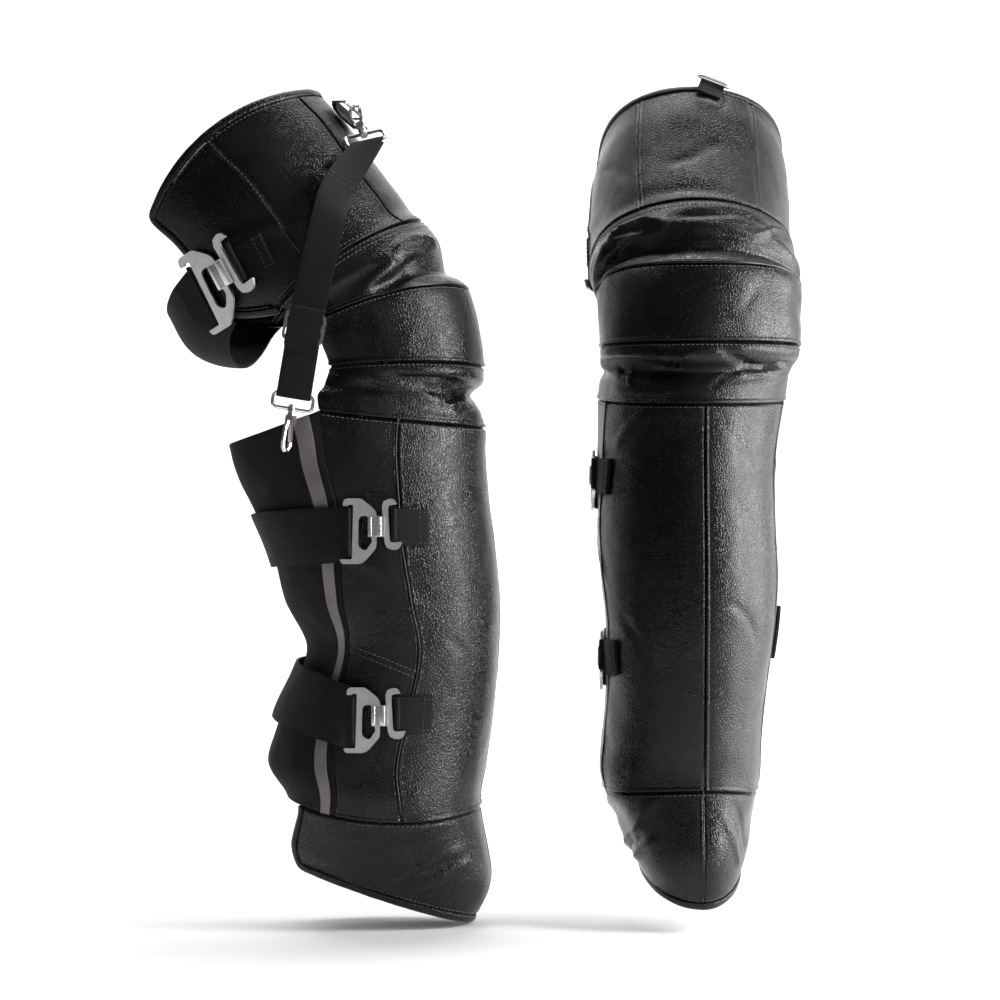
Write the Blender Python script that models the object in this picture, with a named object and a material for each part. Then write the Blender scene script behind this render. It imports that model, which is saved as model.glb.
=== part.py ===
# Pair of leather leg warmers for riding, filled out as worn, one seen from its side and one from its front.
# Each warmer is a tube of sewn panels round an empty leg: thigh, three knee bands, shin, calf wrap and a
# flare over the foot, closed behind by three elastic straps with hooked buckles.
# Units are metres with +Z up. In a warmer's own frame X points forward and the outer side is -Y.
# The origin is the middle of the first warmer's knee, where the wearer's leg holds it.

import math

import bmesh
import bpy
import numpy as np
from mathutils import Matrix, Vector

MM = 0.001

# The sections of the tube, from below the hem to above the thigh's top edge, in millimetres.
# Each lies in the plane through its rear and front points; its outline is a half ellipse on each side.
# "edge" is the angle from the front, in degrees, where the leather ends at the back.
# name, rear x, rear z, front x, front z, outer half-width, inner half-width, edge
SECTIONS = (
    ("below hem", -104, -456, 36, -518, 38, 28, 117),
    ("hem", -106, -436, 53, -490, 47, 36, 117),
    ("flare", -112, -417, 69, -450, 64, 45, 117),
    ("foot seam", -104, -383, 60, -390, 82, 53, 117),
    ("ankle", -120, -353, 65, -353, 81, 55, 110),
    ("lower calf", -110, -315, 70, -315, 78, 58, 114),
    ("calf waist", -88, -259, 75, -259, 78, 64, 122),
    ("calf label", -106, -217, 76, -217, 82, 68, 115),
    ("calf", -118, -174, 72, -174, 85, 67, 110),
    ("upper calf", -133, -132, 67, -132, 84, 67, 105),
    ("wrap top", -150, -93, 64, -93, 84, 72, 103),
    ("shin seam", -160, -40, 64, -70, 83, 79, 102),
    ("pinch", -126, -34, 56, -45, 81, 81, 111),
    ("cap seam", -97, -23, 63, -18, 83, 88, 127),
    ("knee cap", -105, -6, 57, 16, 84, 91, 125),
    ("band seam", -111, 4, 49, 48, 85, 91, 122),
    ("band valley", -115, 6, 31, 64, 86, 91, 122),
    ("band ridge", -121, 4, 24, 85, 88, 90, 122),
    ("thigh seam", -126, 0, 9, 105, 90, 89, 124),
    ("low thigh", -168, 7, -7, 125, 89, 89, 140),
    ("mid thigh", -189, 38, -32, 157, 88, 90, 140),
    ("high thigh", -211, 65, -55, 190, 85, 91, 140),
    ("top edge", -227, 79, -79, 215, 80, 90, 140),
    ("above top", -250, 104, -102, 240, 76, 88, 140),
)
ROW = {section[0]: index for index, section in enumerate(SECTIONS)}
COLUMNS = np.array([section[1:] for section in SECTIONS], dtype=float)
COLUMNS[:, :6] *= MM

# How far each seam bows up at the sides, in rows of the table.
BOW = {"hem": 0.0, "foot seam": -0.2, "shin seam": -0.2, "cap seam": 0.1, "band seam": 0.6,
       "thigh seam": 0.5, "top edge": 0.68}

# The largest folds, as soft ridges (+) and troughs (-) in the leather, in millimetres and degrees.
# "slope" is how many rows the fold climbs for each radian towards the outer side.
# row, angle, height, half-width in rows, half-width in degrees, slope
FOLDS = (
    (16.0, 35, -6.0, 0.35, 42, 0.35),
    (16.5, 60, 3.5, 0.35, 26, -0.30),
    (17.2, 48, 4.0, 0.40, 40, 0.25),
    (17.4, -20, 3.0, 0.45, 34, 0.10),
    (15.9, -50, -4.0, 0.35, 30, -0.30),
    (16.6, -62, 3.0, 0.40, 24, 0.20),
    (14.0, 10, 2.5, 0.70, 60, 0.00),
    (14.2, -70, -1.8, 0.40, 26, 0.40),
    (12.1, 20, -5.0, 0.25, 38, 0.10),
    (12.2, -35, -4.5, 0.25, 30, -0.15),
    (12.6, 42, 3.2, 0.25, 30, 0.20),
    (12.5, -8, 3.4, 0.25, 26, -0.10),
    (12.6, -66, 2.6, 0.30, 28, 0.10),
    (11.6, 30, 2.6, 0.25, 36, 0.05),
    (11.6, -40, 2.4, 0.25, 32, -0.05),
    (12.0, 82, -3.0, 0.30, 24, 0.15),
    (18.6, 20, -2.5, 0.35, 32, 0.20),
    (2.3, 62, -3.5, 0.35, 24, 0.50),
    (2.0, 38, 2.5, 0.40, 22, 0.50),
    (2.3, -58, -3.0, 0.35, 24, -0.50),
    (6.0, 140, -5.0, 0.90, 22, 0.00),
    (9.2, 168, 4.0, 0.80, 20, 0.00),
    (7.3, -150, -4.0, 0.80, 24, 0.00),
)

# Walls, seams and trims
LEATHER_WALL = 3.0 * MM
WRAP_WALL = 2.2 * MM
BINDING_WALL = 4.0 * MM
BINDING_PROUD = 0.5 * MM
HALF_SEAM = 0.15 * MM
CLEAR = 0.3 * MM
TAPE_WALL = 0.6 * MM
ELASTIC_WALL = 2.0 * MM
CALF_ELASTIC_LIFT = 2.4 * MM
ANKLE_ELASTIC_LIFT = 5.6 * MM
ELASTIC_WIDTH = 45 * MM
WEBBING_WALL = 1.8 * MM

# Angles of the lengthwise seams, in degrees from the front, outer side positive
THIGH_SEAM_OUTER = 34
THIGH_SEAM_INNER = -36
SIDE_SEAM_TOP = 68
SIDE_SEAM_LOW = 78
TAPE_ENDS = (0.03, 0.08)
BINDING_ROWS = 0.2
BINDING_DEGREES = 4.5
THIGH_EDGE = 140
FOOT_EDGE = 147.5
WRAP_DROP = 0.84

# Buckles, in a buckle's own flat frame: x along the strap from the elastic to the tab, y along the bar.
# Corners are x, y and the radius that rounds them, in millimetres from the middle of the buckle.
BUCKLE_WALL = 2.4 * MM
BUCKLE_LIFT = 2.8 * MM
FRAME_OUTLINE = (
    (-23, 21, 0.5), (-23, 27.2, 3.5), (-8, 27.2, 6), (4.5, 17, 8), (4.5, -13, 9), (-7, -26.2, 8),
    (-24, -26.2, 2.5), (-25.6, -22.4, 0.5), (-15.6, -22.4, 1), (-14.6, 22, 1), (-19, 22, 0.8), (-19, 21, 0.5),
)
FRAME_HOLE = ((-10, 13, 3.5), (-2.5, 13, 2.5), (0.8, -8, 3), (-4.5, -16, 2.5), (-10.6, -12, 4))
CLIP_SIZE = (13.4, 17.0, 3.9)
CLIP_CENTRE = (4.2, 4.3, 2.1)
ANCHOR_OUTLINE = (
    (8.4, 26.8, 5.5), (18.5, 26.8, 3), (21.2, 22.4, 0.5), (13.6, 21.6, 2.2), (15.4, -8.8, 2.2),
    (25.6, -8.0, 0.5), (22.5, -14.6, 4), (11.4, -14.6, 6), (10.2, 2, 1),
)
SHAFT_X = 12 * MM
SHAFT_Y = 4 * MM

# How many degrees the lower elastics take to rise from the leg to their buckle's bar
ELASTIC_ON_BAR = 9
# The lower elastics: angle, height of the middle line in millimetres
CALF_ROUTE = ((97, -159), (130, -162), (180, -166), (230, -163), (262, -160))
ANKLE_ROUTE = ((101, -312), (130, -302), (180, -292), (230, -288), (262, -288))
# The thigh's elastic: angle, row and lift of the middle line, which stands off behind the thigh
THIGH_ROUTE = ((139, 19.55, 4), (150, 19.5, 9), (165, 19.35, 16), (180, 19.2, 20), (196, 19.1, 18),
               (212, 19.1, 11), (224, 19.2, 4.6), (244, 19.3, 1.4))
THIGH_ELASTIC_HALF_ROWS = 0.78
THIGH_ELASTIC_CLEAR_OF_BAR = 156
# Where each buckle's middle lies, and the thigh's larger size and its turn in the surface
CALF_BUCKLE_HEIGHT = -158 * MM
CALF_BUCKLE_ANGLE = 91
ANKLE_BUCKLE_HEIGHT = -312 * MM
ANKLE_BUCKLE_ANGLE = 94
THIGH_BUCKLE_ROW = 19.6
THIGH_BUCKLE_ANGLE = 128
THIGH_BUCKLE_SCALE = 1.3
THIGH_BUCKLE_TURN = -8
# The webbing tabs, from TAB_START behind the anchor's shaft towards the front
TAB_LENGTH = 42 * MM
TAB_START = -2 * MM
TAB_UNDER_SHAFT = 0.2
TAB_WALL = 2.4 * MM
TAB_LIFT = 1.0 * MM
TAB_WIDTH = 30 * MM

# The loop and ring near the thigh's top edge
LOOP_LIFT = 0.9 * MM
LOOP_WIDTH = 22 * MM
LOOP_LENGTH = 17 * MM
RING_WIDTH = 29 * MM
RING_HEIGHT = 14 * MM
RING_CORNER = 3 * MM
RING_RAISED = 38

# Snap hooks, in a hook's own frame: its pin runs along Z and the hook opens towards +X.
WIRE = 1.5 * MM
EYE_WIDTH = 33 * MM
EYE_HEIGHT = 12 * MM
EYE_CORNER = 3.5 * MM
BOSS_RADIUS = 3.3 * MM
BORE_RADIUS = 1.75 * MM
PIN_RADIUS = 1.35 * MM
BOSS_HALF = 2.2 * MM
HOOK_WIRE = 1.7 * MM
# x, z of the hook's middle line, in millimetres
HOOK_LINE = ((0, -4), (0, -7), (-2.5, -10), (-4.3, -15), (-4.6, -26), (-3.4, -31), (-0.6, -34),
             (2.8, -34), (5.4, -31), (5.8, -27.6))
GATE_PIVOT = (2.6 * MM, -10.5 * MM)
GATE_TIP = (5.6 * MM, -25.3 * MM)
GATE_HALF_WIDTH = 1.6 * MM
GATE_HALF_WALL = 1.2 * MM
SLOT_HALF = 1.55 * MM
HINGE_PIN = 0.8 * MM
HINGE_HALF = 2.8 * MM
SHOULDER_HALF = 3.2 * MM
HEAD = (0.8 * BOSS_RADIUS, 1.4 * MM)
COLLAR = (0.85 * BOSS_RADIUS, 3.5 * MM)
HINGE_HOLE = 1.1 * MM
RING_IN_HOOK = (0.9 * MM, -30.2 * MM)
LOWER_SNAP_TURN = 62
UPPER_SNAP_LEAN = 10

# The hanging strap's middle line in millimetres, below the eye of the upper snap hook, and which way its
# face looks: degrees from the outer side towards the front.
# x, y, z, face
STRAP_LINE = (
    (-56, -80, 124, 20), (-63, -94.5, 95, 8), (-72, -97, 55, 0), (-81, -96, 14, 0),
    (-85, -94.5, -10, 0), (-91, -93, -46, 0),
)
STRAP_WALL = 1.8 * MM
STRAP_WIDTH = 28 * MM
LOOP_OFFSET = 2.75 * MM
LAYER_OFFSET = 2.3 * MM
SLIDER_AT = 0.70
SLIDER_SIZE = (34 * MM, 25 * MM)
SLIDER_SLOT = (29.5 * MM, 6.5 * MM)
SLIDER_WALL = 2.0 * MM
SLIDER_SLOT_AT = 5.4
SLIDER_CORNER = 4
SLIDER_SLOT_CORNER = 1.5

# Each warmer: name, offset x, offset z, turn in degrees about Z, how much higher its lower straps sit,
# (row, angle and tilt) of the loop near its top edge, and whether its hanging strap shows
WARMERS = (
    ("side", 0.0, 0.0, 0, 0.0, (21.2, 8, -39), True),
    ("front", 245 * MM, 18 * MM, -90, 25 * MM, (22.1, -12, -17), False),
)

MATERIALS = {
    "leather": ((0.012, 0.012, 0.013), 0.42, 0.0),
    "wrap_fabric": ((0.008, 0.008, 0.009), 0.9, 0.0),
    "elastic": ((0.006, 0.006, 0.007), 0.85, 0.0),
    "webbing": ((0.022, 0.020, 0.019), 0.8, 0.0),
    "reflective": ((0.20, 0.19, 0.18), 0.45, 0.0),
    "buckle_metal": ((0.60, 0.60, 0.60), 0.35, 1.0),
    "snap_metal": ((0.66, 0.65, 0.62), 0.25, 1.0),
}


def make_materials():
    """Return one Principled material for each kind of surface."""
    made = {}
    for name, (colour, roughness, metallic) in MATERIALS.items():
        material = bpy.data.materials.new(name)
        material.use_nodes = True
        shader = material.node_tree.nodes["Principled BSDF"]
        shader.inputs["Base Color"].default_value = (*colour, 1.0)
        shader.inputs["Roughness"].default_value = roughness
        shader.inputs["Metallic"].default_value = metallic
        made[name] = material
    return made


def clear_scene():
    for old in list(bpy.data.objects):
        bpy.data.objects.remove(old, do_unlink=True)


# The tube's surface

def section_at(row):
    """Read the table's columns at a fractional row, on a smooth curve through the rows."""
    row = min(max(row, 0.0), len(COLUMNS) - 1.0)
    base = min(int(row), len(COLUMNS) - 2)
    t = row - base
    before, start, end, after = (COLUMNS[min(max(base + k, 0), len(COLUMNS) - 1)] for k in (-1, 0, 1, 2))
    return 0.5 * (2 * start + (end - before) * t + (2 * before - 5 * start + 4 * end - after) * t ** 2
                  + (3 * start - before - 3 * end + after) * t ** 3)


def fold_height(row, angle):
    height = 0.0
    for fold_row, fold_angle, rise, half_rows, half_degrees, slope in FOLDS:
        across = (angle - fold_angle + 180) % 360 - 180
        along = row - fold_row - slope * math.radians(across)
        height += rise * math.exp(-(along / half_rows) ** 2 - (across / half_degrees) ** 2)
    return height * MM


def base_point(row, angle):
    rear_x, rear_z, front_x, front_z, outer, inner, _ = section_at(row)
    turn = math.radians(angle)
    width = outer if math.sin(turn) > 0 else inner
    half = np.array([(front_x - rear_x) / 2, 0, (front_z - rear_z) / 2])
    centre = np.array([(front_x + rear_x) / 2, 0, (front_z + rear_z) / 2])
    spoke = math.cos(turn) * half + math.sin(turn) * np.array([0, -width, 0])
    return centre + spoke * (1 + fold_height(row, angle) / np.linalg.norm(spoke))


def surface(row, angle, lift=0.0):
    """Return a point of the tube, moved out from it by lift."""
    here = base_point(row, angle)
    if lift == 0.0:
        return here
    return here + surface_normal(row, angle) * lift


def surface_normal(row, angle):
    step_row, step_angle = 0.05, 1.0
    along = base_point(row + step_row, angle) - base_point(row - step_row, angle)
    round_leg = base_point(row, angle + step_angle) - base_point(row, angle - step_angle)
    normal = np.cross(along, round_leg)
    return normal / np.linalg.norm(normal)


def seam(name):
    """Return the seam's row as a function of the angle."""
    return lambda angle: ROW[name] + BOW[name] * math.sin(math.radians(angle)) ** 2


def edge_angle(row):
    return section_at(row)[6]


def side_seam_angle(row):
    share = min(max((row - ROW["calf"]) / (ROW["shin seam"] - ROW["calf"]), 0), 1)
    return SIDE_SEAM_LOW + (SIDE_SEAM_TOP - SIDE_SEAM_LOW) * share


def row_at_height(height):
    """Return the row of a level section of the lower leg at a height."""
    rows = np.arange(ROW["foot seam"], ROW["shin seam"] + 1)
    heights = [(COLUMNS[row, 1] + COLUMNS[row, 3]) / 2 for row in rows]
    return float(np.interp(height, heights, rows))


# Solids

def new_object(name, mesh, parent, material):
    mesh.materials.append(material)
    mesh.shade_smooth()
    mesh.set_sharp_from_angle(angle=math.radians(42))
    made = bpy.data.objects.new(name, mesh)
    bpy.context.collection.objects.link(made)
    made.parent = parent
    return made


def walled_sheet(name, outer, inner, parent, material):
    """Close two grids of points, the outer and inner face of a wall, into one solid."""
    rows, columns = len(outer), len(outer[0])
    work = bmesh.new()
    faces = [[[work.verts.new(point) for point in line] for line in grid] for grid in (outer, inner)]
    for grid in faces:
        for j in range(rows - 1):
            for i in range(columns - 1):
                work.faces.new((grid[j][i], grid[j][i + 1], grid[j + 1][i + 1], grid[j + 1][i]))
    rims = []
    for line in (0, rows - 1):
        rims.append([(faces[0][line][i], faces[1][line][i]) for i in range(columns)])
    for line in (0, columns - 1):
        rims.append([(faces[0][j][line], faces[1][j][line]) for j in range(rows)])
    for rim in rims:
        for (top, low), (next_top, next_low) in zip(rim, rim[1:]):
            work.faces.new((top, next_top, next_low, low))
    bmesh.ops.recalc_face_normals(work, faces=work.faces)
    mesh = bpy.data.meshes.new(name)
    work.to_mesh(mesh)
    work.free()
    return new_object(name, mesh, parent, material)


def inset(grid):
    """Draw a grid's border in by half a seam on all four sides."""
    grid = np.array(grid)
    for line, neighbour in ((0, 1), (-1, -2)):
        step = grid[neighbour] - grid[line]
        grid[line] += HALF_SEAM * step / np.linalg.norm(step, axis=1, keepdims=True)
    for line, neighbour in ((0, 1), (-1, -2)):
        step = grid[:, neighbour] - grid[:, line]
        grid[:, line] += HALF_SEAM * step / np.linalg.norm(step, axis=1, keepdims=True)
    return grid


def sheet_on_tube(name, places, lift, wall, parent, material):
    """Make a wall over a grid of (row, angle) places, its outer face at lift over the tube."""
    outer = np.array([[surface(row, angle, lift) for row, angle in line] for line in places])
    normal = np.array([[surface_normal(row, angle) for row, angle in line] for line in places])
    shift = inset(outer) - outer
    walls = wall if callable(wall) else (lambda i: wall)
    thickness = np.array([walls(i) for i in range(len(places[0]))])[None, :, None]
    return walled_sheet(name, outer + shift, outer + shift - normal * thickness, parent, material)


def panel_places(low, high, start, end, rows, shares, drop=None):
    """Return a grid of (row, angle) between two seams of the table and two edges, each a function.

    "shares" says how far across the panel each column lies, from 0 to 1. Neighbours share the places along
    their common edge. "drop" lowers the upper seam by a number of rows, for each share.
    """
    places = []
    for j in range(rows + 1):
        up = j / rows
        middle_row = round(low(0)) + (round(high(0)) - round(low(0))) * up
        line = []
        for across in shares:
            angle = start(middle_row) + (end(middle_row) - start(middle_row)) * across
            top = high(angle) - (drop(across) if drop else 0)
            line.append((low(angle) + (top - low(angle)) * up, angle))
        places.append(line)
    return places


def even(columns):
    return [i / columns for i in range(columns + 1)]


def always(value):
    return lambda _: value


# The leather panels and the calf wrap

def thigh(tag, parent, looks):
    bottom = seam("thigh seam")
    top = seam("top edge")

    def panel_top(angle):
        return top(angle) - BINDING_ROWS

    def rear(row):
        return edge_angle(row) - BINDING_DEGREES

    spans = (
        ("thigh_front", always(THIGH_SEAM_INNER), always(THIGH_SEAM_OUTER), 5),
        ("thigh_outer", always(THIGH_SEAM_OUTER), rear, 8),
        ("thigh_inner", lambda row: -rear(row), always(THIGH_SEAM_INNER), 8),
    )
    grids = {}
    for name, start, end, columns in spans:
        grids[name] = panel_places(bottom, panel_top, start, end, 6, even(columns))
        sheet_on_tube(f"{tag}_{name}", grids[name], 0.0, LEATHER_WALL, parent, looks["leather"])

    # The binding runs up one rear edge, along the top and down the other.
    outer_rear = [line[-1] for line in grids["thigh_outer"]]
    inner_rear = [line[0] for line in grids["thigh_inner"]]
    across = grids["thigh_inner"][-1] + grids["thigh_front"][-1][1:] + grids["thigh_outer"][-1][1:]
    within = inner_rear[:-1] + across + outer_rear[-2::-1]
    edge = [(row, -edge_angle(row)) for row, _ in inner_rear[:-1]]
    edge += [(top(angle), angle * THIGH_EDGE / (THIGH_EDGE - BINDING_DEGREES)) for _, angle in across]
    edge += [(row, edge_angle(row)) for row, _ in outer_rear[-2::-1]]
    sheet_on_tube(f"{tag}_thigh_binding", [within, edge], BINDING_PROUD, BINDING_WALL, parent,
                  looks["leather"])


def knee(tag, parent, looks):
    bands = (
        ("knee_lower", "shin seam", "cap seam", 6),
        ("knee_cap", "cap seam", "band seam", 4),
        ("knee_upper", "band seam", "thigh seam", 6),
    )
    for name, low, high, rows in bands:
        places = panel_places(seam(low), seam(high), lambda row: -edge_angle(row), edge_angle, rows,
                              even(18))
        sheet_on_tube(f"{tag}_{name}", places, 0.0, LEATHER_WALL, parent, looks["leather"])


def wrap_drop(across):
    """Return how many rows the calf wrap's top edge drops between the leather and the back of the leg."""
    return WRAP_DROP * math.sin(math.pi * min(max(across, 0), 1)) ** 0.8


def lower_leg(tag, parent, looks):
    low = seam("foot seam")
    high = seam("shin seam")
    rows = 9

    def other_edge(row):
        return 360 - edge_angle(row)

    spans = (
        ("shin_outer", always(0), side_seam_angle, 6),
        ("shin_inner", lambda row: -side_seam_angle(row), always(0), 6),
        ("calf_outer", side_seam_angle, edge_angle, 3),
        ("calf_inner", lambda row: -edge_angle(row), lambda row: -side_seam_angle(row), 3),
    )
    for name, start, end, columns in spans:
        places = panel_places(low, high, start, end, rows, even(columns))
        sheet_on_tube(f"{tag}_{name}", places, 0.0, LEATHER_WALL, parent, looks["leather"])
    shares = [0, *(TAPE_ENDS[1] + (1 - TAPE_ENDS[1]) * i / 9 for i in range(10))]
    shares.insert(1, TAPE_ENDS[0])
    wrap = panel_places(low, high, edge_angle, other_edge, rows, shares, wrap_drop)
    sheet_on_tube(f"{tag}_calf_wrap", wrap, 0.0, WRAP_WALL, parent, looks["wrap_fabric"])

    # The tape covers the wrap's second column, moved out.
    tape = [line[1:3] for line in wrap]
    sheet_on_tube(f"{tag}_reflective_tape", tape, CLEAR + TAPE_WALL, TAPE_WALL, parent, looks["reflective"])


def foot(tag, parent, looks):
    hem = seam("hem")

    def panel_low(angle):
        return hem(angle) + BINDING_ROWS

    spans = (
        ("foot_inner", always(BINDING_DEGREES - FOOT_EDGE), always(0)),
        ("foot_outer", always(0), always(FOOT_EDGE - BINDING_DEGREES)),
    )
    grids = []
    for name, start, end in spans:
        grids.append(panel_places(panel_low, seam("foot seam"), start, end, 4, even(11)))
        sheet_on_tube(f"{tag}_{name}", grids[-1], 0.0, LEATHER_WALL, parent, looks["leather"])
    inner_rear = [line[0] for line in grids[0]]
    outer_rear = [line[-1] for line in grids[1]]
    across = grids[0][0] + grids[1][0][1:]
    within = inner_rear[:0:-1] + across + outer_rear[1:]
    edge = [(row, -FOOT_EDGE) for row, _ in inner_rear[:0:-1]]
    edge += [(hem(angle), angle * FOOT_EDGE / (FOOT_EDGE - BINDING_DEGREES)) for _, angle in across]
    edge += [(row, FOOT_EDGE) for row, _ in outer_rear[1:]]
    sheet_on_tube(f"{tag}_foot_binding", [within, edge], BINDING_PROUD, BINDING_WALL, parent,
                  looks["leather"])


# Straps

def read_route(route, angle):
    """Read a strap's columns at an angle, in straight steps between its stations."""
    angles = [station[0] for station in route]
    return [float(np.interp(angle, angles, column)) for column in list(zip(*route))[1:]]


def lower_elastic(tag, name, route, rest_lift, rise, place, parent, looks):
    """Lay an elastic round the back of the lower leg, from its buckle's bar to the inner seam."""
    first, last = route[0][0], route[-1][0]
    columns = 14
    outer, normals = [], []
    for across in np.linspace(-0.5, 0.5, 5):
        line, line_normals = [], []
        for angle in np.linspace(first, last, columns + 1):
            height = read_route(route, angle)[0] * MM + rise
            row = row_at_height(height + across * ELASTIC_WIDTH)
            to_bar = max(0.0, 1 - (angle - first) / ELASTIC_ON_BAR)
            lift = rest_lift + ELASTIC_WALL
            lift += to_bar * (distance_to_plate(place, row, angle) - CLEAR - lift)
            line.append(surface(row, angle, lift))
            line_normals.append(surface_normal(row, angle))
        outer.append(line)
        normals.append(line_normals)
    outer = np.array(outer)
    walled_sheet(f"{tag}_{name}", outer, outer - np.array(normals) * ELASTIC_WALL, parent, looks["elastic"])


def thigh_elastic(tag, place, parent, looks):
    columns = 14
    outer, normals = [], []
    for across in (-1.0, 0.0, 1.0):
        line, line_normals = [], []
        for angle in np.linspace(THIGH_ROUTE[0][0], THIGH_ROUTE[-1][0], columns + 1):
            row, lift = read_route(THIGH_ROUTE, angle)
            row += across * THIGH_ELASTIC_HALF_ROWS
            lift = lift * MM + ELASTIC_WALL
            if angle < THIGH_ELASTIC_CLEAR_OF_BAR:
                lift = min(lift, distance_to_plate(place, row, angle) - CLEAR)
            line.append(surface(row, angle, lift))
            line_normals.append(surface_normal(row, angle))
        outer.append(line)
        normals.append(line_normals)
    outer = np.array(outer)
    walled_sheet(f"{tag}_thigh_elastic", outer, outer - np.array(normals) * ELASTIC_WALL, parent,
                 looks["elastic"])


def tab(tag, name, place, parent, looks):
    """Lay a buckle's webbing tab on the leather, from under the anchor's shaft towards the front."""
    matrix, row, angle, scale = place
    along = matrix.to_3x3() @ Vector((1, 0, 0))
    up = matrix.to_3x3() @ Vector((0, 1, 0))
    outer, inner = [], []
    for across in (-0.5, 0.0, 0.5):
        top_line, low_line = [], []
        for step in (0.0, 0.09, TAB_UNDER_SHAFT, 0.4, 0.6, 0.8, 1.0):
            reach = SHAFT_X * scale + TAB_LENGTH * step + TAB_START
            target = matrix.translation + along * reach + up * (SHAFT_Y * scale + across * TAB_WIDTH)
            here_row, here_angle = nearest_place(target, row, angle)
            under_shaft = max(0.0, 1 - step / TAB_UNDER_SHAFT)
            lift = TAB_LIFT + TAB_WALL
            lift += min(under_shaft * 2, 1) * (distance_to_plate(place, here_row, here_angle) - CLEAR - lift)
            top_line.append(surface(here_row, here_angle, lift))
            low_line.append(surface(here_row, here_angle, TAB_LIFT))
        outer.append(top_line)
        inner.append(low_line)
    walled_sheet(f"{tag}_{name}", outer, inner, parent, looks["webbing"])


def nearest_place(target, row, angle):
    """Find the row and angle whose normal passes through a point close to the tube."""
    target = np.array(target)
    for _ in range(8):
        here = base_point(row, angle)
        along = (base_point(row + 0.05, angle) - base_point(row - 0.05, angle)) / 0.1
        round_leg = (base_point(row, angle + 1) - base_point(row, angle - 1)) / 2
        steps = np.linalg.lstsq(np.stack([along, round_leg], axis=1), target - here, rcond=None)[0]
        row += float(np.clip(steps[0], -0.5, 0.5))
        angle += float(np.clip(steps[1], -10, 10))
    return row, angle


# Hardware

def plate_on_tube(row, angle, lift, turn, scale=1.0):
    """Return the frame of a flat piece tangent to the tube: x towards the front, y up, z outward."""
    normal = Vector(surface_normal(row, angle))
    forward = Vector(base_point(row, angle - 1) - base_point(row, angle + 1))
    forward = (forward - normal * forward.dot(normal)).normalized()
    upward = normal.cross(forward)
    axes = Matrix((forward, upward, normal)).transposed().to_4x4()
    origin = Matrix.Translation(Vector(surface(row, angle, lift)))
    return origin @ axes @ Matrix.Rotation(math.radians(turn), 4, "Z"), row, angle, scale


def distance_to_plate(place, row, angle):
    """Return how far above the tube, along its normal, the plate's underside lies."""
    matrix = place[0]
    face = np.array(matrix.to_3x3() @ Vector((0, 0, 1)))
    to_plate = np.array(matrix.translation) - surface(row, angle)
    return float(to_plate @ face / (surface_normal(row, angle) @ face))


def rounded(corners, scale=1.0, steps=2):
    """Turn corners (x, y, radius) in millimetres into an outline with round corners, in metres."""
    outline = []
    count = len(corners)
    for index, (x, y, radius) in enumerate(corners):
        here = Vector((x, y))
        back = (Vector(corners[index - 1][:2]) - here).normalized()
        on = (Vector(corners[(index + 1) % count][:2]) - here).normalized()
        half = back.angle(on) / 2
        reach = radius / math.tan(half)
        centre = here + (back + on).normalized() * (radius / math.sin(half))
        first = here + back * reach - centre
        last = here + on * reach - centre
        sweep = first.angle_signed(last)
        for step in range(steps + 1):
            spoke = Matrix.Rotation(-sweep * step / steps, 2) @ first
            outline.append((centre + spoke) * (MM * scale))
    return outline


def rounded_rectangle(half_x, half_y, middle_y, corner):
    low, high = middle_y - half_y, middle_y + half_y
    return rounded([(-half_x, low, corner), (-half_x, high, corner), (half_x, high, corner),
                    (half_x, low, corner)])


def plate(name, outlines, wall, material, parent=None):
    """Extrude a flat outline, with holes after the first, into a plate standing on z = 0."""
    work = bmesh.new()
    edges = []
    for outline in outlines:
        ring = [work.verts.new((x, y, 0)) for x, y in outline]
        edges += [work.edges.new((a, b)) for a, b in zip(ring, ring[1:] + ring[:1])]
    bmesh.ops.triangle_fill(work, use_beauty=True, use_dissolve=False, edges=edges)
    raised = bmesh.ops.extrude_face_region(work, geom=work.faces[:])
    moved = [item for item in raised["geom"] if isinstance(item, bmesh.types.BMVert)]
    bmesh.ops.translate(work, verts=moved, vec=(0, 0, wall))
    bmesh.ops.recalc_face_normals(work, faces=work.faces)
    return finish_mesh(name, work, material, parent)


def finish_mesh(name, work, material, parent):
    mesh = bpy.data.meshes.new(name)
    work.to_mesh(mesh)
    work.free()
    return new_object(name, mesh, parent, material)


def block(name, low, high, material, parent=None):
    work = bmesh.new()
    bmesh.ops.create_cube(work, size=1)
    size = Vector(high) - Vector(low)
    middle = (Vector(high) + Vector(low)) / 2
    for vert in work.verts:
        vert.co = Vector((vert.co.x * size.x, vert.co.y * size.y, vert.co.z * size.z)) + middle
    return finish_mesh(name, work, material, parent)


def rod(name, start, end, radius, material, sides=12):
    work = bmesh.new()
    start, end = Vector(start), Vector(end)
    lie = (end - start).to_track_quat("Z", "Y").to_matrix().to_4x4()
    bmesh.ops.create_cone(work, cap_ends=True, segments=sides, radius1=radius, radius2=radius,
                          depth=(end - start).length, matrix=Matrix.Translation((start + end) / 2) @ lie)
    return finish_mesh(name, work, material, None)


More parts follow.
